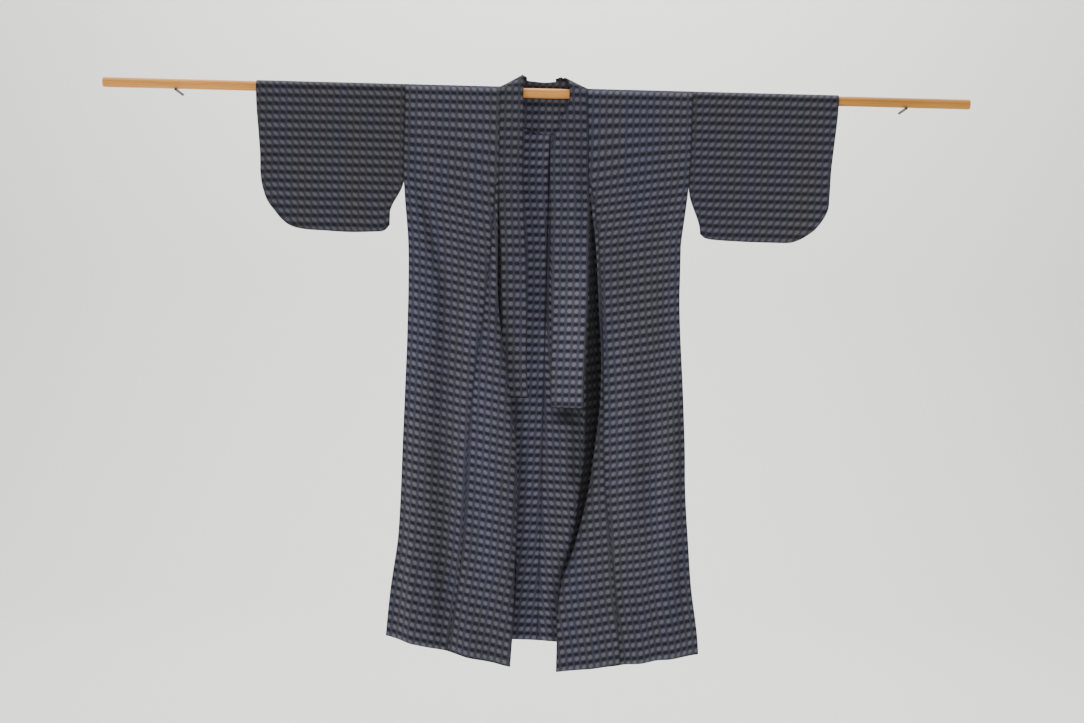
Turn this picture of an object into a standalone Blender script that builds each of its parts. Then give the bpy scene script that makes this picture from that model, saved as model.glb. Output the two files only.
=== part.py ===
# Unlined cotton kimono robe hung open on a wooden rod, with the two wall pegs the rod rests on.
# Metres, +Z up. The rod's axis is the X axis, the front of the robe faces -Y, the wall is at +Y.

import math

import bmesh
import bpy
import numpy as np

# Rod and pegs
ROD_RADIUS = 0.011
ROD_LEFT_END = -0.995
ROD_RIGHT_END = 0.939
ROD_SIDES = 24
ROD_EDGE_BEVEL = 0.0012
PEG_RADIUS = 0.003
PEG_SIDES = 12
PEG_PLACES = {"peg_left": -0.830, "peg_right": 0.795}
PEG_FRONT = -0.015
WALL_PLANE = 0.055

# Cloth walls and the gap kept between neighbours
CLOTH = 0.0015
BAND_CLOTH = 0.0020
SEAM_GAP = 0.0003
OKUMI_SEAM_GAP = 0.0005
BAND_SEAM_GAP = 0.0012
HANG_RADIUS = 0.0127
QUARTER_WRAP = HANG_RADIUS * math.pi / 2.0

# The cut of the robe
UNDERARM = 0.215
ARMHOLE_CLOSING = 0.7
CENTRE_BACK = 0.006
NECK_DROP = 0.0885
NECK_SQUARENESS = 2.0 / 2.2
OKUMI_TIP = 0.200
SIDE_SEAM_DEPTH = CLOTH / 2.0 + SEAM_GAP / 2.0
EDGE_ROLL = 0.080
FOLD_FADE = 0.030

# Radius of the soft turns where a front edge folds under itself, and the depth they reach behind
TURN_RADIUS = 0.0035
RECESS_PLANE = -0.0047

# Where across a front its heights below were measured, 0 at the side seam and 1 at the edge
MEASURED_SHARE = 0.85

# Sign of X, hems at the side seam and at the front edge, collar end and back hem for each side
SIDES = {
    "left": {"sign": -1.0, "hem_side": 1.218, "hem_edge": 1.276, "hem_back": 1.222, "band_end": 0.680},
    "right": {"sign": 1.0, "hem_side": 1.242, "hem_edge": 1.284, "hem_back": 1.222, "band_end": 0.700},
}

# One row for each height of a front: side seam, overlap seam, fold edge, how far the edge is
# tucked back under itself, how fully it turns (0 flat, 1 doubled), the lap after it, and how far
# the collar seam stands forward of the rod's front
FRONT_COLUMNS = ("drop", "side", "seam", "fold", "tuck", "turn", "lap", "crest")
FRONT_LEVELS = {
    "left": (
        (0.000, 0.3200, 0.1130, 0.1096, 0.0005, 0.05, 0.0015, 0.000),
        (0.200, 0.3190, 0.1120, 0.1086, 0.0005, 0.05, 0.0015, 0.001),
        (0.240, 0.3155, 0.1150, 0.1085, 0.0010, 0.45, 0.0015, 0.002),
        (0.330, 0.3060, 0.1190, 0.1060, 0.0040, 0.83, 0.0115, 0.003),
        (0.460, 0.3020, 0.1285, 0.1017, 0.0100, 0.83, 0.0184, 0.004),
        (0.685, 0.3040, 0.1520, 0.0670, 0.0280, 0.83, 0.0082, 0.004),
        (0.800, 0.3060, 0.1590, 0.0520, 0.0180, 0.83, 0.0056, 0.002),
        (0.908, 0.3075, 0.1615, 0.0477, 0.0100, 0.83, 0.0034, 0.001),
        (1.000, 0.3110, 0.1640, 0.0480, 0.0060, 0.70, 0.0030, 0.001),
        (1.120, 0.3250, 0.1730, 0.0500, 0.0020, 0.40, 0.0015, 0.004),
        (1.220, 0.3325, 0.1880, 0.0530, 0.0005, 0.05, 0.0015, 0.012),
        (1.300, 0.3360, 0.1990, 0.0570, 0.0005, 0.05, 0.0015, 0.016),
    ),
    "right": (
        (0.000, 0.3200, 0.0905, 0.0871, 0.0005, 0.05, 0.0015, 0.000),
        (0.100, 0.3200, 0.0955, 0.0925, 0.0005, 0.05, 0.0015, 0.002),
        (0.200, 0.3170, 0.0985, 0.0955, 0.0005, 0.05, 0.0015, 0.005),
        (0.240, 0.3130, 0.1065, 0.1000, 0.0010, 0.45, 0.0015, 0.007),
        (0.330, 0.3030, 0.1185, 0.1120, 0.0100, 0.83, 0.0252, 0.010),
        (0.460, 0.3035, 0.1285, 0.1220, 0.0250, 0.83, 0.0471, 0.012),
        (0.685, 0.3180, 0.1385, 0.1316, 0.0400, 0.83, 0.0727, 0.012),
        (0.800, 0.3245, 0.1400, 0.1210, 0.0300, 0.83, 0.0520, 0.007),
        (0.864, 0.3265, 0.1455, 0.1140, 0.0250, 0.83, 0.0477, 0.005),
        (1.000, 0.3370, 0.1620, 0.0840, 0.0140, 0.70, 0.0200, 0.003),
        (1.087, 0.3450, 0.1720, 0.0573, 0.0030, 0.40, 0.0030, 0.006),
        (1.220, 0.3640, 0.1860, 0.0510, 0.0005, 0.05, 0.0015, 0.014),
        (1.300, 0.3680, 0.1930, 0.0510, 0.0005, 0.05, 0.0015, 0.018),
    ),
}

# One row for each soft vertical fold: where it starts, its place there and at the hem, its width,
# and how deep it grows (towards the wall if positive, towards the viewer if negative)
FOLD_COLUMNS = ("start", "place_top", "place_hem", "width", "depth")
FRONT_FOLDS = {
    "left": (
        (0.05, 0.2620, 0.2000, 0.028, 0.0150),
        (0.10, 0.2980, 0.2770, 0.016, -0.0060),
        (0.20, 0.1920, 0.1450, 0.020, -0.0080),
        (0.30, 0.1250, 0.0950, 0.022, 0.0060),
    ),
    "right": (
        (0.15, 0.2500, 0.2750, 0.019, 0.0100),
        (0.25, 0.2150, 0.2330, 0.016, -0.0070),
        (0.40, 0.1700, 0.2000, 0.013, 0.0060),
        (0.55, 0.1250, 0.1250, 0.026, -0.0070),
    ),
}
BACK_FOLDS = {
    "left": (
        (0.15, 0.2550, 0.2600, 0.022, -0.0060),
        (0.30, 0.1700, 0.1900, 0.026, 0.0080),
        (0.45, 0.0900, 0.0800, 0.024, -0.0050),
    ),
    "right": (
        (0.12, 0.2500, 0.2700, 0.024, -0.0060),
        (0.25, 0.1600, 0.1750, 0.024, 0.0090),
        (0.50, 0.0800, 0.0900, 0.022, -0.0050),
    ),
}

# Stitched waist tuck on the inside of the back
WAIST_TUCK_TOP = 0.505
WAIST_TUCK_HEM = 0.621
WAIST_TUCK_RAISE = 0.0016
WAIST_TUCK_EDGE = 0.003

# The free edge of the collar band, measured from its seam edge: across towards the neck's middle,
# back towards the wall and up, for each place along the neck (minus is down the front)
BAND_COLUMNS = ("run", "across", "back", "up")
BAND_EDGE = {
    "left": (
        (-0.720, 0.0580, 0.0060, 0.000),
        (-0.480, 0.0560, 0.0060, 0.000),
        (-0.260, 0.0544, 0.0030, 0.000),
        (-0.120, 0.0530, 0.0000, 0.000),
        (-0.040, 0.0520, -0.0010, 0.002),
        (-0.012, 0.0510, -0.0015, 0.014),
        (0.000, 0.0500, 0.0010, 0.027),
        (0.014, 0.0480, 0.0030, 0.036),
        (0.040, 0.0420, 0.0020, 0.063),
        (0.080, 0.0280, 0.0010, 0.096),
        (0.1085, -0.0160, 0.0010, 0.117),
    ),
    "right": (
        (-0.740, 0.0685, 0.0150, 0.000),
        (-0.480, 0.0800, 0.0150, 0.000),
        (-0.260, 0.0855, 0.0090, 0.000),
        (-0.150, 0.0860, 0.0040, 0.000),
        (-0.115, 0.0780, 0.0020, 0.000),
        (-0.070, 0.0570, 0.0010, 0.002),
        (-0.038, 0.0410, -0.0010, 0.005),
        (-0.012, 0.0420, -0.0015, 0.014),
        (0.000, 0.0480, 0.0010, 0.022),
        (0.014, 0.0540, 0.0030, 0.032),
        (0.040, 0.0560, 0.0020, 0.060),
        (0.080, 0.0510, 0.0010, 0.094),
        (0.1085, 0.0160, 0.0010, 0.117),
    ),
}

# One row for each ring of a sleeve: its reach at the rod and at the bottom, its depth, and the
# shares of that depth between which its edge moves from one reach to the other
SLEEVE_COLUMNS = ("top", "bottom", "depth", "leaves", "out")
SLEEVE_RINGS = {
    "left": (
        (0.3206, 0.3480, 0.3020, 0.66, 0.92),
        (0.3440, 0.3610, 0.3150, 0.50, 0.96),
        (0.3800, 0.3870, 0.3180, 0.00, 1.00),
        (0.4350, 0.4400, 0.3200, 0.00, 1.00),
        (0.4900, 0.4940, 0.3180, 0.00, 1.00),
        (0.5350, 0.5380, 0.3160, 0.00, 1.00),
        (0.5700, 0.5680, 0.3090, 0.00, 1.00),
        (0.5950, 0.5880, 0.2955, 0.00, 1.00),
        (0.6150, 0.6060, 0.2750, 0.00, 1.00),
        (0.6300, 0.6220, 0.2540, 0.00, 1.00),
        (0.6410, 0.6330, 0.2250, 0.00, 1.00),
        (0.6480, 0.6372, 0.2040, 0.00, 1.00),
        (0.6520, 0.6392, 0.1880, 0.00, 1.00),
    ),
    "right": (
        (0.3206, 0.3450, 0.3040, 0.64, 1.00),
        (0.3440, 0.3580, 0.3135, 0.50, 1.00),
        (0.3800, 0.3850, 0.3170, 0.00, 1.00),
        (0.4350, 0.4400, 0.3190, 0.00, 1.00),
        (0.4900, 0.4900, 0.3195, 0.00, 1.00),
        (0.5350, 0.5420, 0.3190, 0.00, 1.00),
        (0.5650, 0.5660, 0.3120, 0.00, 1.00),
        (0.5880, 0.5860, 0.3000, 0.00, 1.00),
        (0.6080, 0.6020, 0.2870, 0.00, 1.00),
        (0.6230, 0.6180, 0.2660, 0.00, 1.00),
        (0.6350, 0.6290, 0.2420, 0.00, 1.00),
        (0.6410, 0.6310, 0.2150, 0.00, 1.00),
        (0.6450, 0.6322, 0.1900, 0.00, 1.00),
    ),
}
SLEEVE_FOLD_RADIUS = 0.0030
ARMHOLE_BLEND = 0.060

# How finely each stretch is divided, heights closer than this are one, and angles shaded smooth
WRAP_STEPS = 8
PANEL_STEPS = 12
OKUMI_STEPS = {"flat": 5, "turn": 5, "tuck": 2, "lap": 4}
FRONT_STEPS = {"yoke": 4, "chest": 8, "skirt": 10}
NECK_ANGLES = (22.0, 34.0, 46.0, 58.0, 69.0, 79.0, 90.0)
BACK_STEPS = {"above": 5, "tuck": 3, "below": 8}
BAND_STEPS = 5
SLEEVE_STEPS = 8
SLEEVE_TURN_STEPS = 4
SAME_DROP = 1e-6
CLOTH_SMOOTH_ANGLE = 50.0
BAR_SMOOTH_ANGLE = 40.0

# Colours, linear, and roughness
CLOTH_COLOURS = {
    "body_left": (0.050, 0.056, 0.086),
    "body_right": (0.052, 0.058, 0.090),
    "okumi_left": (0.056, 0.061, 0.090),
    "okumi_right": (0.058, 0.063, 0.092),
    "sleeve_left": (0.046, 0.052, 0.080),
    "sleeve_right": (0.048, 0.054, 0.084),
    "collar": (0.062, 0.068, 0.098),
}
CLOTH_ROUGHNESS = 0.92
ROD_COLOUR = (0.56, 0.31, 0.15)
ROD_ROUGHNESS = 0.45
PEG_COLOUR = (0.10, 0.09, 0.08)
PEG_ROUGHNESS = 0.5
PEG_METALLIC = 0.8


def clear_scene():
    for obj in list(bpy.data.objects):
        bpy.data.objects.remove(obj, do_unlink=True)


def make_material(name, colour, roughness, metallic=0.0):
    material = bpy.data.materials.new(name)
    material.use_nodes = True
    shader = material.node_tree.nodes["Principled BSDF"]
    shader.inputs["Base Color"].default_value = (*colour, 1.0)
    shader.inputs["Roughness"].default_value = roughness
    shader.inputs["Metallic"].default_value = metallic
    return material


def add_object(name, mesh, material, smooth_angle):
    mesh.materials.append(material)
    obj = bpy.data.objects.new(name, mesh)
    bpy.context.scene.collection.objects.link(obj)
    mesh.shade_smooth()
    mesh.set_sharp_from_angle(angle=math.radians(smooth_angle))
    return obj


def smooth_step(value):
    value = np.clip(value, 0.0, 1.0)
    return value * value * (3.0 - 2.0 * value)


def read_table(rows, columns, name, at):
    # Smooth cubic through the rows of one column, with slopes taken from the neighbouring rows
    table = np.array(rows)
    place = table[:, 0]
    value = table[:, columns.index(name)]
    slope = np.gradient(value, place)
    at = np.clip(at, place[0], place[-1])
    row = np.clip(np.searchsorted(place, at) - 1, 0, len(place) - 2)
    span = place[row + 1] - place[row]
    t = (at - place[row]) / span
    low = value[row] * (1 + 2 * t) * (1 - t) ** 2 + slope[row] * span * t * (1 - t) ** 2
    high = value[row + 1] * t * t * (3 - 2 * t) + slope[row + 1] * span * t * t * (t - 1)
    limit_low = np.minimum(value[row], value[row + 1])
    limit_high = np.maximum(value[row], value[row + 1])
    return np.clip(low + high, limit_low, limit_high)


def level_of(side, drop):
    # The measured heights lie near the front edge, where the cloth hangs lower than at the side
    tilt = hem_tilt(side)
    near_edge = drop * (1.0 + MEASURED_SHARE * tilt)
    rows = FRONT_LEVELS[side]
    level = {name: float(read_table(rows, FRONT_COLUMNS, name, near_edge)) for name in FRONT_COLUMNS[2:]}
    level["side"] = float(read_table(rows, FRONT_COLUMNS, "side", drop))
    level["angle"] = level["turn"] * math.pi
    return level


def hem_tilt(side):
    return SIDES[side]["hem_edge"] / SIDES[side]["hem_side"] - 1.0


def side_depth(drop):
    # Half the gap between front and back at the side: open at the armhole, shut below it
    open_part = np.clip(1.0 - drop / UNDERARM, 0.0, 1.0) ** ARMHOLE_CLOSING
    return SIDE_SEAM_DEPTH + (HANG_RADIUS - SIDE_SEAM_DEPTH) * open_part


def soft_folds(folds, across, drop, hem):
    total = np.zeros_like(across)
    for row in folds:
        fold = dict(zip(FOLD_COLUMNS, row))
        share = np.clip((drop - fold["start"]) / (hem - fold["start"]), 0.0, 1.0)
        place = fold["place_top"] + (fold["place_hem"] - fold["place_top"]) * share
        bell = np.exp(-(((across - place) / fold["width"]) ** 2))
        total = total + fold["depth"] * smooth_step(share) * bell
    return total


def turn(start, angle_from, angle_to, bend):
    # Points round a soft turn that begins at start, bending towards the wall (1) or away (-1)
    angles = np.linspace(angle_from, angle_to, OKUMI_STEPS["turn"] + 1)[1:]
    across = (np.sin(angles) - math.sin(angle_from)) * TURN_RADIUS * bend
    back = (math.cos(angle_from) - np.cos(angles)) * TURN_RADIUS * bend
    return np.column_stack((start[0] - across, start[1] + back))


def straight(start, end, steps):
    share = np.linspace(0.0, 1.0, steps + 1)[1:, None]
    return start + (end - start) * share


def front_section(side, drop):
    # One level of a front, seen from above: across from the side seam, then the turned-under edge
    level = level_of(side, drop)
    angle = level["angle"]
    peak = level["fold"] + TURN_RADIUS * math.sin(min(angle, math.pi / 2.0))
    lift = 2.0 * TURN_RADIUS * (1.0 - math.cos(angle)) + level["tuck"] * math.sin(angle)
    band_plane = -HANG_RADIUS - level["crest"]
    dip = (RECESS_PLANE - band_plane) * float(smooth_step(level["turn"]))
    front_plane = band_plane + dip - lift
    folds = FRONT_FOLDS[side]
    hem = SIDES[side]["hem_side"]

    def layer(across):
        roll = smooth_step((level["side"] - across) / EDGE_ROLL)
        base = -side_depth(drop) + (front_plane + side_depth(drop)) * roll
        ends = smooth_step((level["side"] - across) / FOLD_FADE) * smooth_step((across - peak) / FOLD_FADE)
        return np.column_stack((across, base + soft_folds(folds, across, drop, hem) * ends))

    panel = layer(np.linspace(level["side"], level["seam"], PANEL_STEPS + 1))
    flat = layer(np.linspace(level["seam"], peak, OKUMI_STEPS["flat"] + 1))
    first_turn = turn(flat[-1], 0.0, angle, 1.0)
    tuck_end = first_turn[-1] + level["tuck"] * np.array((-math.cos(angle), math.sin(angle)))
    tuck = straight(first_turn[-1], tuck_end, OKUMI_STEPS["tuck"])
    second_turn = turn(tuck[-1], angle, 0.0, -1.0)
    lap_end = second_turn[-1] - np.array((level["lap"], 0.0))
    lap = straight(second_turn[-1], lap_end, OKUMI_STEPS["lap"])
    lap[:, 1] -= dip * smooth_step(np.linspace(0.0, 1.0, OKUMI_STEPS["lap"] + 1)[1:])
    return panel, np.vstack((flat, first_turn, tuck, second_turn, lap))


def front_edge(side, drop):
    # Where the collar band meets the front at this level
    okumi = front_section(side, drop)[1]
    return okumi[-1]


def place_front(side, drop, section, share):
    # Section points to world points, hanging lower towards the front edge
    sign = SIDES[side]["sign"]
    down = -drop * (1.0 + hem_tilt(side) * share)
    return np.column_stack((sign * section[:, 0], section[:, 1], down))


def shares_of(panel, okumi):
    # How far along the level each point lies, 0 at the side seam and 1 at the collar seam
    whole = np.vstack((panel, okumi[1:]))
    steps = np.hypot(*np.diff(whole, axis=0).T)
    length = np.concatenate(((0.0,), np.cumsum(steps)))
    length = length / length[-1]
    return length[: len(panel)], length[len(panel) - 1 :]


def front_drops(side):
    band_drop = SIDES[side]["band_end"] / (1.0 + hem_tilt(side))
    yoke = np.linspace(0.0, OKUMI_TIP, FRONT_STEPS["yoke"] + 1)
    chest = np.linspace(OKUMI_TIP, band_drop, FRONT_STEPS["chest"] + 1)[1:]
    skirt = np.linspace(band_drop, SIDES[side]["hem_side"], FRONT_STEPS["skirt"] + 1)[1:]
    return np.concatenate((yoke, chest, skirt))


def inset_end(points, gap, first=False):
    # Pulls one end of a row of points back along the row by the gap
    moved = points.copy()
    end, inner = (0, 1) if first else (-1, -2)
    step = points[inner] - points[end]
    moved[end] = points[end] + step / np.linalg.norm(step) * gap
    return moved


def wrap(run):
    # A place on the cloth over the rod, measured along the cloth from the rod's top
    angle = np.clip(run / HANG_RADIUS, -math.pi / 2.0, math.pi / 2.0)
    below = max(abs(run) - QUARTER_WRAP, 0.0)
    return HANG_RADIUS * math.sin(angle), HANG_RADIUS * math.cos(angle) - below


def neck_curve(side, angle, inset):
    # Back neckline, a squared quarter ellipse from the top of the rod to the centre back
    reach = front_edge(side, 0.0)[0] - SIDES[side]["sign"] * CENTRE_BACK - inset
    depth = QUARTER_WRAP + NECK_DROP - inset
    across = reach * abs(math.cos(angle)) ** NECK_SQUARENESS + SIDES[side]["sign"] * CENTRE_BACK
    return across, depth * math.sin(angle) ** NECK_SQUARENESS


def neck_stations():
    # Angles along the neckline whose places step evenly over the rod, then follow the curve
    depth = QUARTER_WRAP + NECK_DROP
    over_rod = np.linspace(0.0, QUARTER_WRAP, WRAP_STEPS // 2 + 1)
    early = np.arcsin((over_rod / depth) ** (1.0 / NECK_SQUARENESS))
    return np.concatenate((early, np.radians(NECK_ANGLES)))


def back_row(side, drop, inner, outer):
    # One level of the back, from the side seam in to the centre back or the neckline
    across = np.linspace(outer, inner, PANEL_STEPS + 1)
    sign = SIDES[side]["sign"]
    roll = smooth_step((outer - across) / EDGE_ROLL)
    base = side_depth(drop) + (HANG_RADIUS - side_depth(drop)) * roll
    from_centre = across - sign * CENTRE_BACK
    ends = smooth_step((outer - across) / FOLD_FADE) * smooth_step(from_centre / FOLD_FADE)
    waves = soft_folds(BACK_FOLDS[side], across, drop, SIDES[side]["hem_back"])
    hem_side = SIDES[side]["hem_side"] / SIDES[side]["hem_back"] - 1.0
    share = across / outer
    return np.column_stack((sign * across, base + waves * ends, -drop * (1.0 + hem_side * share)))


def sheet_normals(grid, around):
    if around:
        along = np.roll(grid, -1, axis=0) - np.roll(grid, 1, axis=0)
    else:
        along = np.gradient(grid, axis=0)
    across = np.gradient(grid, axis=1)
    normal = np.cross(along, across)
    return normal / np.linalg.norm(normal, axis=2, keepdims=True)


def wall_mesh(name, grid, thickness, around=False, outward=1.0, raised=None):
    # A closed wall of even thickness on both sides of a grid of points
    normal = sheet_normals(grid, around) * outward
    inner_raise = np.zeros(grid.shape[:2]) if raised is None else raised
    outer = grid + normal * thickness / 2.0
    inner = grid - normal * (thickness / 2.0 + inner_raise[:, :, None])
    rows, columns = grid.shape[:2]
    build = bmesh.new()
    skins = []
    for skin in (outer, inner):
        skins.append([[build.verts.new(point) for point in row] for row in skin])
    row_pairs = rows if around else rows - 1
    for skin, reverse in zip(skins, (False, True)):
        for i in range(row_pairs):
            for j in range(columns - 1):
                k = (i + 1) % rows
                corners = (skin[i][j], skin[i][j + 1], skin[k][j + 1], skin[k][j])
                build.faces.new(corners[::-1] if reverse else corners)
    top, under = skins
    for i in range(row_pairs):
        k = (i + 1) % rows
        build.faces.new((top[k][0], top[i][0], under[i][0], under[k][0])[::-1])
        build.faces.new((top[i][-1], top[k][-1], under[k][-1], under[i][-1])[::-1])
    if not around:
        for j in range(columns - 1):
            build.faces.new((top[0][j], top[0][j + 1], under[0][j + 1], under[0][j])[::-1])
            build.faces.new((top[-1][j + 1], top[-1][j], under[-1][j], under[-1][j + 1])[::-1])
    bmesh.ops.recalc_face_normals(build, faces=build.faces)
    mesh = bpy.data.meshes.new(name)
    build.to_mesh(mesh)
    build.free()
    return mesh


def body_panel(side):
    sign = SIDES[side]["sign"]
    rows = []
    for drop in front_drops(side)[::-1]:
        panel, okumi = front_section(side, drop)
        panel_share, okumi_share = shares_of(panel, okumi)
        points = place_front(side, drop, panel, panel_share)
        if drop < OKUMI_TIP:
            inner = okumi[-1]
            across = np.linspace(panel[0, 0], inner[0], PANEL_STEPS + 1)
            depth = np.interp(-across, -panel[:, 0], panel[:, 1])
            flat = np.column_stack((across, depth))
            points = place_front(side, drop, flat, np.linspace(0.0, 1.0, PANEL_STEPS + 1))
        rows.append(inset_end(points, SEAM_GAP / 2.0))
    front_rows = len(rows)
    inner_top = front_edge(side, 0.0)[0]
    outer_top = level_of(side, 0.0)["side"]
    for run in np.linspace(-QUARTER_WRAP, 0.0, WRAP_STEPS // 2 + 1)[1:-1]:
        y, z = wrap(run)
        across = np.linspace(outer_top, inner_top, PANEL_STEPS + 1)
        rows.append(np.column_stack((sign * across, np.full_like(across, y), np.full_like(across, z))))
    for angle in neck_stations():
        inner, run = neck_curve(side, angle, 0.0)
        y, z = wrap(run)
        drop = max(-z, 0.0) if run > QUARTER_WRAP else 0.0
        outer = level_of(side, drop)["side"]
        row = back_row(side, drop, inner, outer)
        if drop == 0.0:
            row[:, 1] = y
            row[:, 2] = z
        rows.append(inset_end(row, SEAM_GAP / 2.0))
    drops = np.concatenate((
        np.linspace(NECK_DROP, WAIST_TUCK_TOP, BACK_STEPS["above"] + 1)[1:],
        np.linspace(WAIST_TUCK_TOP + WAIST_TUCK_EDGE, WAIST_TUCK_HEM, BACK_STEPS["tuck"] + 1),
        (WAIST_TUCK_HEM + WAIST_TUCK_EDGE,),
        np.linspace(WAIST_TUCK_HEM, SIDES[side]["hem_back"], BACK_STEPS["below"] + 1)[1:],
    ))
    for drop in drops:
        outer = level_of(side, drop)["side"]
        inner = sign * CENTRE_BACK
        rows.append(inset_end(back_row(side, drop, inner, outer), SEAM_GAP / 2.0))
    grid = np.array(rows)
    depth = -grid[:, :, 2]
    on_back = np.arange(len(rows))[:, None] > front_rows
    half_edge = WAIST_TUCK_EDGE / 2.0
    tucked = (depth > WAIST_TUCK_TOP + half_edge) & (depth < WAIST_TUCK_HEM + half_edge) & on_back
    inward = tucked * (np.abs(grid[:, :, 0]) < level_of(side, WAIST_TUCK_TOP)["side"] - EDGE_ROLL)
    name = "body_" + side
    mesh = wall_mesh(name, grid, CLOTH, outward=-sign, raised=inward * WAIST_TUCK_RAISE)
    return add_object(name, mesh, cloth_material(name), CLOTH_SMOOTH_ANGLE)


def okumi_panel(side):
    rows = []
    for drop in front_drops(side):
        if drop < OKUMI_TIP:
            continue
        panel, okumi = front_section(side, drop)
        points = place_front(side, drop, okumi, shares_of(panel, okumi)[1])
        points = inset_end(points, OKUMI_SEAM_GAP, first=True)
        rows.append(inset_end(points, SEAM_GAP / 2.0))
    name = "okumi_" + side
    mesh = wall_mesh(name, np.array(rows), CLOTH, outward=SIDES[side]["sign"])
    return add_object(name, mesh, cloth_material(name), CLOTH_SMOOTH_ANGLE)


def band_crossing(side, seam, run):
    # One crossing of the collar band, from its seam edge to its free edge
    sign = SIDES[side]["sign"]
    offset = [float(read_table(BAND_EDGE[side], BAND_COLUMNS, name, run)) for name in BAND_COLUMNS[1:]]
    free = seam + np.array((-sign * offset[0], offset[1], offset[2]))
    share = np.linspace(0.0, 1.0, BAND_STEPS + 1)[:, None]
    return seam + (free - seam) * share


def band_half(side):
    # From the band's front end up to the centre back
    sign = SIDES[side]["sign"]
    rows = []
    drops = front_drops(side)
    band_drop = SIDES[side]["band_end"] / (1.0 + hem_tilt(side))
    for drop in drops[drops <= band_drop + SAME_DROP][::-1]:
        edge = front_edge(side, drop)
        down = -drop * (1.0 + hem_tilt(side))
        seam = np.array((sign * (edge[0] - BAND_SEAM_GAP), edge[1], down))
        rows.append(band_crossing(side, seam, -(drop + QUARTER_WRAP)))
    top_edge = front_edge(side, 0.0)[0] - BAND_SEAM_GAP
    for run in np.linspace(-QUARTER_WRAP, 0.0, WRAP_STEPS // 2 + 1)[1:-1]:
        y, z = wrap(run)
        rows.append(band_crossing(side, np.array((sign * top_edge, y, z)), run))
    for angle in neck_stations():
        across, run = neck_curve(side, angle, BAND_SEAM_GAP)
        y, z = wrap(run)
        rows.append(band_crossing(side, np.array((sign * across, y, z)), run))
    return rows


def collar_band():
    left = band_half("left")
    right = band_half("right")
    grid = np.array(left + right[-2::-1])
    mesh = wall_mesh("collar", grid, BAND_CLOTH)
    return add_object("collar", mesh, cloth_material("collar"), CLOTH_SMOOTH_ANGLE)


def sleeve_ring(side, ring, reach_share):
    # One ring of a sleeve: over the rod, down the back, round the bottom and up the front
    sign = SIDES[side]["sign"]
    top = ring["top"]
    bottom = ring["bottom"]
    fall = ring["depth"] - SLEEVE_FOLD_RADIUS
    share = np.linspace(0.0, 1.0, SLEEVE_STEPS + 1)
    moved = smooth_step((share - ring["leaves"]) / (ring["out"] - ring["leaves"]))
    across = top + (bottom - top) * moved
    plain = HANG_RADIUS + (SLEEVE_FOLD_RADIUS - HANG_RADIUS) * share
    at_armhole = np.maximum(side_depth(share * fall), SLEEVE_FOLD_RADIUS)
    half = at_armhole + (plain - at_armhole) * reach_share
    over = np.linspace(-math.pi / 2.0, math.pi / 2.0, WRAP_STEPS + 1)
    under = np.linspace(math.pi / 2.0, -math.pi / 2.0, SLEEVE_TURN_STEPS + 1)
    points = []
    for angle in over:
        points.append((top, HANG_RADIUS * math.sin(angle), HANG_RADIUS * math.cos(angle)))
    for x, y, z in zip(across[1:-1], half[1:-1], share[1:-1] * fall):
        points.append((x, y, -z))
    for angle in under:
        points.append((bottom, half[-1] * math.sin(angle), -fall - half[-1] * math.cos(angle)))
    for x, y, z in zip(across[-2:0:-1], half[-2:0:-1], share[-2:0:-1] * fall):
        points.append((x, -y, -z))
    return np.array(points) * np.array((sign, 1.0, 1.0))


def sleeve(side):
    rings = [dict(zip(SLEEVE_COLUMNS, row)) for row in SLEEVE_RINGS[side]]
    armhole = rings[0]["top"]
    loops = []
    for ring in rings:
        reach_share = float(smooth_step((ring["top"] - armhole) / ARMHOLE_BLEND))
        loops.append(sleeve_ring(side, ring, reach_share))
    grid = np.array(loops).transpose(1, 0, 2)
    name = "sleeve_" + side
    mesh = wall_mesh(name, grid, CLOTH, around=True, outward=SIDES[side]["sign"])
    return add_object(name, mesh, cloth_material(name), CLOTH_SMOOTH_ANGLE)


def cloth_material(name):
    return make_material(name + "_cloth", CLOTH_COLOURS[name], CLOTH_ROUGHNESS)


def round_bar(name, radius, length, sides, bevel, material):
    # A bar along local Z with lightly rounded ends
    build = bmesh.new()
    bmesh.ops.create_cone(
        build, cap_ends=True, segments=sides, radius1=radius, radius2=radius, depth=length
    )
    if bevel > 0.0:
        rims = [edge for edge in build.edges if abs(edge.verts[0].co.z - edge.verts[1].co.z) < radius]
        bmesh.ops.bevel(build, geom=rims, offset=bevel, segments=1, affect="EDGES")
    mesh = bpy.data.meshes.new(name)
    build.to_mesh(mesh)
    build.free()
    return add_object(name, mesh, material, BAR_SMOOTH_ANGLE)


def rod():
    wood = make_material("rod_wood", ROD_COLOUR, ROD_ROUGHNESS)
    length = ROD_RIGHT_END - ROD_LEFT_END
    bar = round_bar("rod", ROD_RADIUS, length, ROD_SIDES, ROD_EDGE_BEVEL, wood)
    bar.rotation_euler = (0.0, math.pi / 2.0, 0.0)
    bar.location = ((ROD_RIGHT_END + ROD_LEFT_END) / 2.0, 0.0, 0.0)
    return bar


def peg(name, place):
    iron = make_material(name + "_iron", PEG_COLOUR, PEG_ROUGHNESS, metallic=PEG_METALLIC)
    pin = round_bar(name, PEG_RADIUS, WALL_PLANE - PEG_FRONT, PEG_SIDES, 0.0, iron)
    pin.rotation_euler = (math.pi / 2.0, 0.0, 0.0)
    pin.location = (place, (WALL_PLANE + PEG_FRONT) / 2.0, -ROD_RADIUS - SEAM_GAP - PEG_RADIUS)
    return pin


clear_scene()
rod()
for peg_name, peg_place in PEG_PLACES.items():
    peg(peg_name, peg_place)
for robe_side in SIDES:
    body_panel(robe_side)
    okumi_panel(robe_side)
    sleeve(robe_side)
collar_band()
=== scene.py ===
import math
from functools import partialmethod

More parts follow.
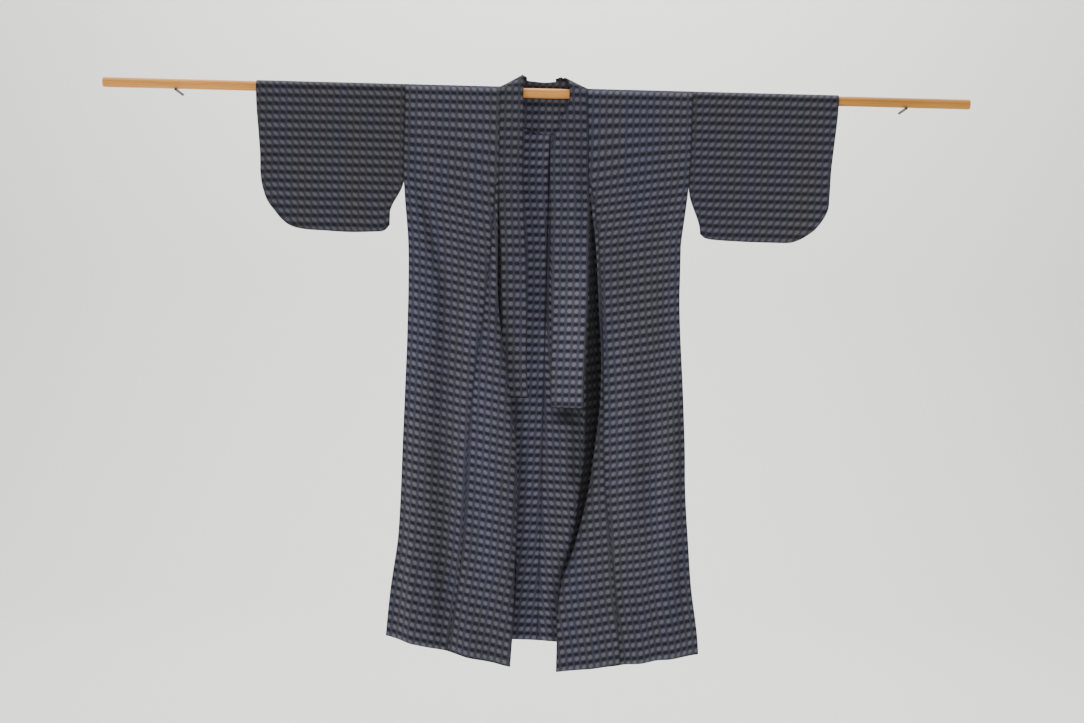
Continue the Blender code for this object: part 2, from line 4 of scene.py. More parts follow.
import bpy
import numpy as np
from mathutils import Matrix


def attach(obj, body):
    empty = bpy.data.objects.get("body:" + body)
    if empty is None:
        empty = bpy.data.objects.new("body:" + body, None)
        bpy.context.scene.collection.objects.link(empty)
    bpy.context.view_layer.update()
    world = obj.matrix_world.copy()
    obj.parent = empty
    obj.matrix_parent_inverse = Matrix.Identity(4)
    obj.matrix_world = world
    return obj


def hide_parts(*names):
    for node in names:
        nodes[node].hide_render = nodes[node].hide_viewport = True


# An unlined cotton kimono robe hung open on a wooden rod. The front faces -Y, the wall side is +Y.
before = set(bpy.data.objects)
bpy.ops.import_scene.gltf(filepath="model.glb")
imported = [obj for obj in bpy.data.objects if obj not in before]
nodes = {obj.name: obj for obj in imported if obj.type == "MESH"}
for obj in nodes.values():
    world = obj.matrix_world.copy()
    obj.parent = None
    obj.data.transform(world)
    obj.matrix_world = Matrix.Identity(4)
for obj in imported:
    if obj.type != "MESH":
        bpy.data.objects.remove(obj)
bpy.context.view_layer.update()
print("frame loaded with", len(nodes), "nodes")

# what the cloth is like everywhere
cloth = {
    "thickness": 0.0011,
    "bandThickness": 0.0017,
    "rowPitch": 0.0190,     # along the cloth
    "columnPitch": 0.0150,  # across the cloth
    "seamSink": 0.0007,     # how far a sewn edge sinks in, and over what width
    "seamWidth": 0.0032,
    "hem": 0.014,
    "creasePaintedShade": 0.28,      # painted shade: how much darker the cloth is at the bottom of a crease of foldDepth, and painted highlight on a ridge
    "foldDepth": 0.0080,
    "lapPaintedShade": 0.68,       # painted shade: how much darker the lap is under a turned front edge
    "insidePaintedLight": 0.32,     # painted light: how much paler the inside of the back is
    "edgePaintedShade": 0.36,      # painted shade: how much darker a fold edge and the back beside it are
}

# the places the cloth hangs from, in step with the solids
hang = {
    "radius": 0.0127,       # of the cloth over the rod
    "underarm": 0.215,
    "armholeCurve": 0.7,    # how soon front and back close below the armhole
    "sideHalfGap": 0.0009,  # half the gap between front and back at the side seam
    "edgeRoll": 0.080,      # how far the side edge takes to round away
    "foldEase": 0.030,      # how far folds take to fade out at a panel's edges
    "creaseEase": 0.30,     # the share of an overlap panel's flat part over which creases fade
    "slantShare": 0.85,     # how much of the hem's slant a front edge follows
    "turnRadius": 0.0035,
    "recess": -0.0047,      # how far back a turned-under front edge reaches
    "lapSink": 0.0075,      # how much deeper its lap sinks before it rises to the collar
    "lapFall": 0.35,        # the share of the lap over which it sinks
    "lapRise": 0.50,        # the share of the lap where its rise starts
    "centreBack": 0.006,
    "neckDrop": 0.0885,
    "neckSquareness": 2.0 / 2.2,
    "okumiTip": 0.200,
}
quarterWrap = hang["radius"] * math.pi / 2

sides = {
    "left": {"sign": -1, "hemSide": 1.218, "hemEdge": 1.276, "hemBack": 1.222, "bandEnd": 0.680},
    "right": {"sign": 1, "hemSide": 1.242, "hemEdge": 1.284, "hemBack": 1.222, "bandEnd": 0.700},
}

# one row for each height of a front, all in metres but turn, which is a share of half a circle
frontColumns = ("drop", "side", "seam", "fold", "tuck", "turn", "lap", "crest")
frontLevels = {
    "left": (
        (0.000, 0.3200, 0.1130, 0.1096, 0.0005, 0.05, 0.0015, 0.000),
        (0.200, 0.3190, 0.1120, 0.1086, 0.0005, 0.05, 0.0015, 0.001),
        (0.240, 0.3155, 0.1150, 0.1085, 0.0010, 0.45, 0.0015, 0.002),
        (0.330, 0.3060, 0.1190, 0.1060, 0.0040, 0.83, 0.0115, 0.003),
        (0.460, 0.3020, 0.1285, 0.1017, 0.0100, 0.83, 0.0184, 0.004),
        (0.685, 0.3040, 0.1520, 0.0670, 0.0280, 0.83, 0.0082, 0.004),
        (0.800, 0.3060, 0.1590, 0.0520, 0.0180, 0.83, 0.0056, 0.002),
        (0.908, 0.3075, 0.1615, 0.0477, 0.0100, 0.83, 0.0034, 0.001),
        (1.000, 0.3110, 0.1640, 0.0480, 0.0060, 0.70, 0.0030, 0.001),
        (1.120, 0.3250, 0.1730, 0.0500, 0.0020, 0.40, 0.0015, 0.004),
        (1.220, 0.3325, 0.1880, 0.0530, 0.0005, 0.05, 0.0015, 0.012),
        (1.300, 0.3360, 0.1990, 0.0570, 0.0005, 0.05, 0.0015, 0.016),
    ),
    "right": (
        (0.000, 0.3200, 0.0905, 0.0871, 0.0005, 0.05, 0.0015, 0.000),
        (0.100, 0.3200, 0.0955, 0.0925, 0.0005, 0.05, 0.0015, 0.002),
        (0.200, 0.3170, 0.0985, 0.0955, 0.0005, 0.05, 0.0015, 0.005),
        (0.240, 0.3130, 0.1065, 0.1000, 0.0010, 0.45, 0.0015, 0.007),
        (0.330, 0.3030, 0.1185, 0.1120, 0.0100, 0.83, 0.0252, 0.010),
        (0.460, 0.3035, 0.1285, 0.1220, 0.0250, 0.83, 0.0471, 0.012),
        (0.685, 0.3180, 0.1385, 0.1316, 0.0400, 0.83, 0.0727, 0.012),
        (0.800, 0.3245, 0.1400, 0.1210, 0.0300, 0.83, 0.0520, 0.007),
        (0.864, 0.3265, 0.1455, 0.1140, 0.0250, 0.83, 0.0477, 0.005),
        (1.000, 0.3370, 0.1620, 0.0840, 0.0140, 0.70, 0.0200, 0.003),
        (1.087, 0.3450, 0.1720, 0.0573, 0.0030, 0.40, 0.0030, 0.006),
        (1.220, 0.3640, 0.1860, 0.0510, 0.0005, 0.05, 0.0015, 0.014),
        (1.300, 0.3680, 0.1930, 0.0510, 0.0005, 0.05, 0.0015, 0.018),
    ),
}

# soft vertical folds: height where each starts, its place there and at the hem, width, depth
frontFolds = {
    "left": (
        (0.05, 0.2620, 0.2000, 0.028, 0.0150),
        (0.10, 0.2980, 0.2770, 0.016, -0.0060),
        (0.20, 0.1920, 0.1450, 0.020, -0.0080),
        (0.30, 0.1250, 0.0950, 0.022, 0.0060),
    ),
    "right": (
        (0.15, 0.2500, 0.2750, 0.019, 0.0100),
        (0.25, 0.2150, 0.2330, 0.016, -0.0070),
        (0.40, 0.1700, 0.2000, 0.013, 0.0060),
        (0.55, 0.1250, 0.1250, 0.026, -0.0070),
    ),
}
backFolds = {
    "left": (
        (0.15, 0.2550, 0.2600, 0.022, -0.0060),
        (0.30, 0.1700, 0.1900, 0.026, 0.0080),
        (0.45, 0.0900, 0.0800, 0.024, -0.0050),
    ),
    "right": (
        (0.12, 0.2500, 0.2700, 0.024, -0.0060),
        (0.25, 0.1600, 0.1750, 0.024, 0.0090),
        (0.50, 0.0800, 0.0900, 0.022, -0.0050),
    ),
}


def smoothStep(value):
    # 3t^2 - 2t^3 between 0 and 1
    value = np.clip(value, 0, 1)
    return value * value * (3 - 2 * value)


def bell(value):
    # e to the minus value squared: 1 in the middle, fading on both sides
    return np.exp(-(value ** 2))


def gridOf(*measures):
    # rows by columns of points, from one array for each measure of a point
    return np.stack(np.broadcast_arrays(*measures), axis=2)


def readTable(rows, columns, name, at):
    # a smooth cubic through one column, kept between neighbouring rows
    table = np.array(rows)
    place = table[:, 0]
    value = table[:, columns.index(name)]
    slope = np.gradient(value, place)
    at = np.clip(at, place[0], place[-1])
    row = np.clip(np.searchsorted(place, at) - 1, 0, len(place) - 2)
    span = place[row + 1] - place[row]
    t = (at - place[row]) / span
    low = value[row] * (1 + 2 * t) * (1 - t) ** 2 + slope[row] * span * t * (1 - t) ** 2
    high = value[row + 1] * t * t * (3 - 2 * t) + slope[row + 1] * span * t * t * (t - 1)
    least = np.minimum(value[row], value[row + 1])
    most = np.maximum(value[row], value[row + 1])
    return np.clip(low + high, least, most)


def frontLevel(side, name, drop):
    # one measure of a front at each height, as a column
    return readTable(frontLevels[side], frontColumns, name, drop)[:, None]


def hemTilt(side):
    return sides[side]["hemEdge"] / sides[side]["hemSide"] - 1


def sideDepth(drop):
    # the front and back part at the armhole and close to the side seam below it
    openPart = np.clip(1 - drop / hang["underarm"], 0, 1) ** hang["armholeCurve"]
    return hang["sideHalfGap"] + (hang["radius"] - hang["sideHalfGap"]) * openPart


def rounded(across, drop, outer, depth):
    # at its own depth, rounding away to the side seam's
    roll = smoothStep((outer - across) / hang["edgeRoll"])
    return sideDepth(drop) + (depth - sideDepth(drop)) * roll


def softFolds(rows, across, drop, hem, outer, inner):
    # each fold is a bell across the cloth that deepens smoothly down to the hem, and all of them
    # fade out at the panel's outer and inner edges
    total = np.zeros(np.broadcast(across, drop).shape)
    for start, placeTop, placeHem, width, depth in rows:
        share = np.clip((drop - start) / (hem - start), 0, 1)
        place = placeTop + (placeHem - placeTop) * share
        total = total + depth * smoothStep(share) * bell((across - place) / width)
    total = total * smoothStep((outer - across) / hang["foldEase"])
    return total * smoothStep((across - inner) / hang["foldEase"])


# how far past its ends a crease reaches and over what share of its length it fades there
creaseEnds = {"past": 0.15, "fade": 0.40}


def creases(rows, x, z):
    # each crease is a trough (or a ridge, if its depth is minus) along a short line
    total = np.zeros(x.shape)
    for x0, z0, x1, z1, width, depth in rows:
        lengthSquared = (x1 - x0) ** 2 + (z1 - z0) ** 2
        along = ((x - x0) * (x1 - x0) + (z - z0) * (z1 - z0)) / lengthSquared
        off = ((x - x0) * (z1 - z0) - (z - z0) * (x1 - x0)) / math.sqrt(lengthSquared)
        starts = smoothStep((creaseEnds["past"] + along) / creaseEnds["fade"])
        stops = smoothStep((creaseEnds["past"] + 1 - along) / creaseEnds["fade"])
        total = total + depth * starts * stops * bell(off / width)
    return total


def creasePaintedShade(deep):
    # painted shade at the bottom of the creases and painted highlight along the ridges
    return 1 - cloth["creasePaintedShade"] * np.clip(deep / cloth["foldDepth"], -1, 1)


def cumulative(grid):
    # distance along each row of a grid of points
    steps = np.linalg.norm(np.diff(grid, axis=1), axis=2)
    return np.concatenate((np.zeros((len(grid), 1)), np.cumsum(steps, axis=1)), axis=1)


def evenSteps(count):
    return np.linspace(0, 1, count + 1)[None, :]


def frontLayers(side, drop):
    # One front seen from above at each height: across from the side seam to the overlap seam,
    # on to the fold edge, round it, back under itself, round again and out to the collar seam.
    # Returns the body panel's and the overlap panel's (across, depth) as rows by columns.
    nearEdge = drop * (1 + hang["slantShare"] * hemTilt(side))
    level = {name: frontLevel(side, name, nearEdge) for name in frontColumns[2:]}
    sideLine = frontLevel(side, "side", drop)
    angle = level["turn"] * math.pi
    radius = hang["turnRadius"]
    peak = level["fold"] + radius * np.sin(np.minimum(angle, math.pi / 2))
    lift = 2 * radius * (1 - np.cos(angle)) + level["tuck"] * np.sin(angle)
    bandPlane = -hang["radius"] - level["crest"]
    dip = (hang["recess"] - bandPlane) * smoothStep(level["turn"])
    frontPlane = bandPlane + dip - lift
    drop = drop[:, None]

    def layer(across):
        waves = softFolds(frontFolds[side], across, drop, sides[side]["hemSide"], sideLine, peak)
        return gridOf(across, waves - rounded(across, drop, sideLine, -frontPlane))

    def extend(line, across, depth):
        # further points, measured from the line's last one
        return np.concatenate((line, line[:, -1:] + gridOf(across, depth)), axis=1)

    panel = layer(sideLine + (level["seam"] - sideLine) * evenSteps(fine["panel"]))
    okumi = layer(level["seam"] + (peak - level["seam"]) * evenSteps(fine["flat"]))
    t = evenSteps(fine["turn"])[:, 1:]
    okumi = extend(okumi, -np.sin(angle * t) * radius, (1 - np.cos(angle * t)) * radius)
    s = evenSteps(fine["tuck"])[:, 1:] * level["tuck"]
    okumi = extend(okumi, -np.cos(angle) * s, np.sin(angle) * s)
    left = angle * (1 - t)
    okumi = extend(okumi, (np.sin(left) - np.sin(angle)) * radius, (np.cos(left) - np.cos(angle)) * radius)
    # the lap sinks, stays down, then rises to the collar
    w = evenSteps(fine["lap"])[:, 1:]
    sink = hang["lapSink"] * smoothStep(level["turn"]) * smoothStep(level["lap"] / hang["foldEase"])
    rise = smoothStep((w - hang["lapRise"]) / (1 - hang["lapRise"])) * (dip + sink)
    okumi = extend(okumi, -level["lap"] * w, smoothStep(w / hang["lapFall"]) * sink - rise)
    return panel, okumi


def frontEdge(side, drop):
    # (across, depth) of the collar seam at each height
    return frontLayers(side, drop)[1][:, -1]


def frontSurface(side, drop, section, way, share, showing, *seams):
    # A section of a front in space with its creases and pressed seams, its weave, and how deep its
    # creases are. The cloth hangs lower, and below the shoulder its rows slope down, towards the
    # front edge, in proportion to how far across it is.
    down = -drop[:, None] * (1 + hemTilt(side) * share)
    grid = gridOf(sides[side]["sign"] * section[:, :, 0], section[:, :, 1], down)
    deep = creases(bodyCreases[side, "front"], grid[:, :, 0], down) * showing
    grid[:, :, 1] += deep
    sinkSeams(grid, 1, *seams)
    slope, start = rowSlope[side]
    skew = slope * smoothStep(drop[:, None] / start)
    return grid, gridOf(way, -down - skew * way), deep


def wrap(run):
    # over the rod as half a circle, then straight down on both sides
    turn = np.clip(run / hang["radius"], -math.pi / 2, math.pi / 2)
    below = np.maximum(np.abs(run) - quarterWrap, 0)
    return hang["radius"] * np.sin(turn), hang["radius"] * np.cos(turn) - below


def upperEdge(side, steps, inset):
    # The inner edge over the rod and round the neck, as places along the cloth and how far across
    # each lies: straight to the rod's top, then a squared quarter ellipse down to the centre back.
    centre = sides[side]["sign"] * hang["centreBack"]
    corner = frontEdge(side, np.zeros(1))[0, 0] - inset
    depth = quarterWrap + hang["neckDrop"]
    # even steps over the rod, then even angles down the curve
    overRod = np.linspace(0, quarterWrap, steps["overRod"])
    early = np.arcsin((overRod / depth) ** (1 / hang["neckSquareness"]))
    angle = np.concatenate((early, np.linspace(early[-1], math.pi / 2, steps["neck"])[1:]))
    straight = -overRod[-2:0:-1]
    run = (depth - inset) * np.sin(angle) ** hang["neckSquareness"]
    across = (corner - centre) * np.abs(np.cos(angle)) ** hang["neckSquareness"] + centre
    return np.concatenate((straight, run)), np.concatenate((np.full(len(straight), corner), across))


def backPoints(side, runs, inner):
    # across from the side seam to the inner edge at each place along the cloth, with soft folds
    sign = sides[side]["sign"]
    y, z = (values[:, None] for values in wrap(runs))
    drop = np.maximum(-z, 0)
    outer = frontLevel(side, "side", drop[:, 0])
    across = outer + (inner[:, None] - outer) * evenSteps(fine["panel"])
    hem = sides[side]["hemBack"]
    waves = softFolds(backFolds[side], across, drop, hem, outer, sign * hang["centreBack"])
    slant = sides[side]["hemSide"] / hem - 1
    hung = rounded(across, drop, outer, hang["radius"]) + waves
    down = -drop * (1 + slant * across / outer)
    return gridOf(sign * across, np.where(drop > 0, hung, y), np.where(drop > 0, down, z))


def gridObject(name, grid, index):
    mesh = bpy.data.meshes.new(name)
    mesh.from_pydata(grid.reshape(-1, 3), [], quads(index).tolist())
    mesh.shade_smooth()
    obj = bpy.data.objects.new(name, mesh)
    bpy.context.scene.collection.objects.link(obj)
    return obj


def quads(index):
    # the four corners of every cell in a grid of point numbers
    return np.stack((index[:-1, :-1], index[:-1, 1:], index[1:, 1:], index[1:, :-1]), axis=2).reshape(-1, 4)


def clothObject(name, grid, weave, seamAway, hemAway, shade, thickness=cloth["thickness"], around=False):
    # quads over a grid of points, with the weave's own coordinates in metres and, for each point,
    # how far it is from a sewn edge and from a hem, and its painted light and shade as a factor on its
    # colour (1 is plain)
    rows, columns = grid.shape[:2]
    index = np.arange(rows * columns).reshape(rows, columns)
    if around:
        index = np.concatenate((index, index[:1]))
        weave = np.concatenate((weave, weave[:1]))
    obj = gridObject(name, grid, index)
    layer = obj.data.uv_layers.new(name="weave")
    weaveCorners = quads(np.arange(len(weave) * columns).reshape(-1, columns)).ravel()
    layer.data.foreach_set("uv", weave.reshape(-1, 2)[weaveCorners].ravel())
    for mark, values in (("seamAway", seamAway), ("hemAway", hemAway), ("shade", shade)):
        attribute = obj.data.attributes.new(mark, "FLOAT", "POINT")
        attribute.data.foreach_set("value", np.ascontiguousarray(values).ravel())
    solid = obj.modifiers.new("thickness", "SOLIDIFY")
    solid.thickness = thickness
    solid.offset = 0
    print(name, "widest", round(cumulative(grid)[:, -1].max(), 3))
    return obj


def edgeDistance(grid, *edges):
    # the shortest way along the cloth to any of the named edges of a grid
    across = cumulative(grid)
    down = cumulative(grid.transpose(1, 0, 2)).T
    ways = {"first": across, "last": across[:, -1:] - across, "top": down, "bottom": down[-1:] - down}
    return np.minimum.reduce([ways[edge] for edge in edges])


def sinkSeams(grid, way, *edges):
    # a pressed seam lies a little deeper than the cloth on both sides of it
    away = edgeDistance(grid, *edges) / cloth["seamWidth"]
    grid[:, :, 1] += way * cloth["seamSink"] * bell(away)


# how many steps each stretch of a body or overlap panel has
fine = {"panel": 84, "flat": 40, "turn": 9, "tuck": 12, "lap": 24, "front": 210, "back": 200,
        "overRod": 10, "neck": 36}

# how the cloth's rows slope on each front: drop over distance across, and the height it takes to start
rowSlope = {"left": (0.21, 0.30), "right": (0.17, 0.22)}

# main creases, one row each: from x, z to x, z, width, depth; a minus depth is a ridge
bodyCreases = {
    ("left", "front"): (
        (-0.305, -0.030, -0.296, -0.190, 0.010, 0.0030),
        (-0.296, -0.180, -0.268, -0.270, 0.010, 0.0030),
        (-0.274, -0.240, -0.228, -0.430, 0.012, 0.0072),
        (-0.226, -0.410, -0.224, -0.570, 0.013, 0.0085),
        (-0.224, -0.550, -0.226, -0.720, 0.018, 0.0064),
        (-0.224, -0.690, -0.206, -1.200, 0.026, 0.0066),
        (-0.284, -0.330, -0.286, -1.200, 0.018, -0.0040),
        (-0.160, -0.380, -0.160, -0.900, 0.024, -0.0050),
        (-0.122, -0.560, -0.112, -1.150, 0.022, -0.0050),
        (-0.290, -0.138, -0.120, -0.150, 0.006, 0.0014),
        (-0.215, -0.800, -0.228, -1.200, 0.010, -0.0025),
        (-0.262, -0.950, -0.268, -1.210, 0.009, 0.0028),
        (-0.130, -0.480, -0.165, -0.720, 0.009, 0.0020),
        (-0.180, -0.700, -0.188, -1.050, 0.012, -0.0022),
        (-0.300, -0.620, -0.180, -0.640, 0.010, 0.0012),
        (-0.200, -0.240, -0.205, -0.450, 0.014, -0.0018),
    ),
    ("left", "back"): (
        (-0.300, -0.180, -0.180, -0.360, 0.014, 0.0030),
        (-0.140, -0.250, -0.150, -0.700, 0.012, -0.0025),
        (-0.240, -0.700, -0.250, -1.150, 0.012, 0.0030),
        (-0.060, -0.750, -0.070, -1.150, 0.010, 0.0022),
    ),
    ("right", "front"): (
        (0.300, -0.170, 0.215, -0.330, 0.012, 0.0030),
        (0.302, -0.205, 0.250, -0.400, 0.010, -0.0022),
        (0.172, -0.300, 0.178, -0.520, 0.010, 0.0024),
        (0.258, -0.400, 0.262, -0.560, 0.012, 0.0022),
        (0.222, -0.640, 0.235, -0.950, 0.018, 0.0048),
        (0.262, -0.700, 0.275, -1.000, 0.014, -0.0038),
        (0.270, -0.340, 0.300, -1.150, 0.034, -0.0036),
        (0.300, -0.640, 0.324, -1.150, 0.012, 0.0060),
        (0.175, -0.450, 0.182, -1.050, 0.020, -0.0040),
        (0.290, -0.860, 0.306, -1.200, 0.014, 0.0034),
        (0.312, -1.020, 0.335, -1.210, 0.008, 0.0024),
        (0.218, -1.090, 0.224, -1.240, 0.008, 0.0026),
        (0.150, -0.130, 0.290, -0.140, 0.006, 0.0012),
        (0.135, -0.400, 0.300, -0.415, 0.008, 0.0012),
        (0.170, -0.850, 0.300, -0.830, 0.010, 0.0012),
    ),
    ("right", "back"): (
        (0.290, -0.190, 0.170, -0.380, 0.014, 0.0030),
        (0.120, -0.300, 0.130, -0.800, 0.012, -0.0025),
        (0.250, -0.600, 0.270, -1.150, 0.012, 0.0030),
        (0.060, -0.800, 0.080, -1.180, 0.010, 0.0022),
    ),
}

# the stitched tuck across the inside of the back at the waist, flat again at the side seams
waistTuck = {"top": 0.505, "hem": 0.621, "raise": 0.0045, "topRoll": 0.003, "hemRoll": 0.012,
             "sideEase": 0.020}

# where painted shade darkens the inside of the back, and where painted light makes it paler when its share
# is minus: x, z, half width, half height, share
paintedShadeAndLightPlaces = (
    (-0.022, -0.135, 0.018, 0.025, -0.12),
    (-0.022, -0.800, 0.022, 0.200, -0.10),
    (0.040, -0.820, 0.026, 0.160, 0.14),
    (0.005, -0.330, 0.007, 0.190, 0.46),
    (0.060, -0.716, 0.032, 0.020, 0.66),
    (0.076, -0.800, 0.013, 0.070, 0.42),
)
paintedShadeAndLightFade = 0.020

# where the painted shade beside a turned-under front edge lies
paintedEdgeShadeReach = {
    "top": 0.40,            # height below the rod where it starts, and how far it takes to come
    "ease": 0.10,
    "inside": 0.008,        # on the back: how far inside the front's fold edge its middle is
    "backWidth": 0.012,
    "rollWidth": 0.008,     # on the overlap panel: how far it reaches round the fold
    "turnFrom": 0.2,        # the turns, in half circles, at which an edge starts to count as turned
    "turnTo": 0.7,          # under, and counts as wholly so
    "lapPast": 0.004,       # the lap's own painted shade starts this far before the flat part ends
    "lapEase": 0.012,
    "collarEase": 0.006,
}


def paintedShadeAndLight(x, z):
    # a bell across each place and a soft step at its top and bottom
    total = np.zeros(x.shape)
    for x0, z0, halfWidth, halfHeight, share in paintedShadeAndLightPlaces:
        down = smoothStep((halfHeight - np.abs(z - z0)) / paintedShadeAndLightFade + 0.5)
        total += share * bell((x - x0) / halfWidth) * down
    return total


def paintedEdgeShadeReachShare(drop):
    return smoothStep((drop[:, None] - paintedEdgeShadeReach["top"]) / paintedEdgeShadeReach["ease"])


def bodyFront(side):
    # rows from the hem up to the shoulder, with the weave and the tones of each point
    drops = np.linspace(0, sides[side]["hemSide"], fine["front"] + 1)[::-1]
    # no row falls between the overlap panel's tip and the first row below it
    tip = hang["okumiTip"]
    drops[np.argmin(np.abs(drops - tip))] = tip
    panel, okumi = frontLayers(side, drops)
    way = cumulative(np.concatenate((panel, okumi[:, 1:]), axis=1))
    # above the tip the panel reaches the collar seam itself
    yoke = (drops < tip)[:, None]
    plain = evenSteps(fine["panel"])
    edge = okumi[:, -1:, 0]
    across = np.where(yoke, panel[:, :1, 0] + (edge - panel[:, :1, 0]) * plain, panel[:, :, 0])
    depths = np.array([np.interp(-row, -line[:, 0], line[:, 1]) for row, line in zip(across, panel)])
    panel = gridOf(across, np.where(yoke, depths, panel[:, :, 1]))
    share = np.where(yoke, plain, way[:, : panel.shape[1]] / way[:, -1:])
    grid, weave, deep = frontSurface(side, drops, panel, cumulative(panel), share, 1, "first", "last")
    return grid, weave, creasePaintedShade(deep)


def bodyBack(side):
    # rows over the rod, round the neck and down to the back hem
    sign = sides[side]["sign"]
    runs, inner = upperEdge(side, fine, 0)
    drops = np.linspace(hang["neckDrop"], sides[side]["hemBack"], fine["back"] + 1)[1:]
    runs = np.concatenate((runs, drops + quarterWrap))
    inner = np.concatenate((inner, np.full(len(drops), sign * hang["centreBack"])))
    rows = backPoints(side, runs, inner)
    back = rows[-len(drops):]
    x, z = back[:, :, 0], back[:, :, 2]
    back[:, :, 1] -= creases(bodyCreases[side, "back"], x, z)
    sinkSeams(back, -1, "first", "last")
    tuckedIn = smoothStep((waistTuck["hem"] - drops) / waistTuck["hemRoll"] + 1)
    tuckedIn = tuckedIn * smoothStep((drops - waistTuck["top"]) / waistTuck["topRoll"])
    inside = frontLevel(side, "side", drops) - hang["edgeRoll"] - np.abs(x)
    back[:, :, 1] -= waistTuck["raise"] * tuckedIn[:, None] * smoothStep(inside / waistTuck["sideEase"])

    weave = gridOf(cumulative(rows), -runs[:, None] - quarterWrap)
    # painted light over the inside of the back, with painted shade beside the front's fold edge and at the
    # painted places
    shade = np.full(rows.shape[:2], 1 + cloth["insidePaintedLight"])
    beside = (sign * x - frontLevel(side, "fold", drops) + paintedEdgeShadeReach["inside"]) / paintedEdgeShadeReach["backWidth"]
    beside = cloth["edgePaintedShade"] * bell(beside) * paintedEdgeShadeReachShare(drops)
    shade[-len(drops):] *= (1 - beside) * (1 - paintedShadeAndLight(x, z))
    return rows, weave, shade


def bodyPanel(side):
    # one length of cloth from the front hem over the shoulder to the back hem
    halves = zip(bodyFront(side), bodyBack(side))
    grid, weave, shade = (np.concatenate(parts) for parts in halves)
    return clothObject("robeBody" + side.title(), grid, weave, edgeDistance(grid, "first", "last"),
                       edgeDistance(grid, "top", "bottom"), shade)


def okumiPanel(side):
    # the overlap panel, from its narrow top beside the collar down to the hem
    drops = np.linspace(hang["okumiTip"], sides[side]["hemSide"], fine["front"] + 1)
    panel, okumi = frontLayers(side, drops)
    way = cumulative(np.concatenate((panel, okumi[:, 1:]), axis=1))[:, panel.shape[1] - 1:]
    # creases fade out before the fold
    column = np.arange(okumi.shape[1])[None, :]
    showing = smoothStep((1 - column / fine["flat"]) / hang["creaseEase"])
    grid, weave, deep = frontSurface(side, drops, okumi, way, way / way[:, -1:], showing, "first")
    # painted shade on the lap turned under the fold edge, and on the fold edge where it rolls away from the
    # light
    turned = frontLevel(side, "turn", drops) - paintedEdgeShadeReach["turnFrom"]
    turned = smoothStep(turned / (paintedEdgeShadeReach["turnTo"] - paintedEdgeShadeReach["turnFrom"]))
    flatEnd = okumi[:, fine["flat"], None, 0] + paintedEdgeShadeReach["lapPast"]
    under = column > fine["flat"] + fine["turn"] / 2
    lap = under * turned * smoothStep((flatEnd - okumi[:, :, 0]) / paintedEdgeShadeReach["lapEase"])
    lap = lap * smoothStep((way[:, -1:] - way) / paintedEdgeShadeReach["collarEase"])
    rolled = (way - way[:, fine["flat"], None]) / paintedEdgeShadeReach["rollWidth"]
    rolled = cloth["edgePaintedShade"] * bell(rolled) * turned * paintedEdgeShadeReachShare(drops)
    shade = creasePaintedShade(deep) * (1 - cloth["lapPaintedShade"] * lap) * (1 - rolled)
    return clothObject("robeOkumi" + side.title(), grid, weave, edgeDistance(grid, "first", "last"),
                       edgeDistance(grid, "bottom"), shade)


# the collar's free edge from its seam edge: across, back and up, by the place along the neck
bandColumns = ("run", "across", "back", "up")
bandEdge = {
    "left": (
        (-0.720, 0.0580, 0.0060, 0.000),
        (-0.480, 0.0560, 0.0060, 0.000),
        (-0.260, 0.0544, 0.0030, 0.000),
        (-0.120, 0.0530, 0.0000, 0.000),
        (-0.040, 0.0520, -0.0010, 0.002),
        (-0.012, 0.0510, -0.0015, 0.014),
        (0.000, 0.0500, 0.0010, 0.027),
        (0.014, 0.0480, 0.0030, 0.036),
        (0.040, 0.0420, 0.0020, 0.063),
        (0.080, 0.0280, 0.0010, 0.096),
        (0.1085, -0.0160, 0.0010, 0.117),
    ),
    "right": (
        (-0.740, 0.0685, 0.0150, 0.000),
        (-0.480, 0.0800, 0.0150, 0.000),
        (-0.260, 0.0855, 0.0090, 0.000),
        (-0.150, 0.0860, 0.0040, 0.000),
        (-0.115, 0.0780, 0.0020, 0.000),
        (-0.070, 0.0570, 0.0010, 0.002),
        (-0.038, 0.0410, -0.0010, 0.005),
        (-0.012, 0.0420, -0.0015, 0.014),
        (0.000, 0.0480, 0.0010, 0.022),
        (0.014, 0.0540, 0.0030, 0.032),
        (0.040, 0.0560, 0.0020, 0.060),
        (0.080, 0.0510, 0.0010, 0.094),
        (0.1085, 0.0160, 0.0010, 0.117),
    ),
}
collarCreases = (
    (0.056, -0.110, 0.064, -0.340, 0.012, -0.0042),
    (0.060, -0.380, 0.066, -0.640, 0.016, -0.0022),
    (0.075, -0.120, 0.083, -0.330, 0.010, 0.0030),
    (0.080, -0.370, 0.084, -0.580, 0.011, -0.0050),
    (0.056, -0.420, 0.058, -0.600, 0.016, -0.0050),
    (-0.082, -0.060, -0.074, -0.380, 0.012, -0.0024),
    (-0.060, -0.300, -0.052, -0.640, 0.010, 0.0018),
    (0.020, -0.480, 0.070, -0.500, 0.008, 0.0012),
    (-0.095, -0.430, -0.050, -0.440, 0.008, 0.0012),
)
bandSteps = {"front": 150, "overRod": 12, "neck": 44, "across": 26}
band = {
    "overlap": 0.0015,      # how far it lies over the front's edge
    "creaseTop": 0.030,     # how far below the rod its creases start, and how far they take to come
    "creaseSeam": 0.2,      # the share of its width in which they come
    "endPaintedShade": 0.45,        # painted shade at its two ends
    "endWidth": 0.007,
    "neckPaintedLight": 0.30,       # painted light behind the neck
    "neckFrom": 0.015,      # from this far past the rod's top, and how far the painted light takes to come
    "neckEase": 0.020,
    "lowFrom": 0.020,       # but only from this far below the rod, and how far it takes there
    "lowEase": 0.030,
    "topPaintedShade": 0.26,        # painted shade where it stands above the rod
    "topEase": 0.012,
}
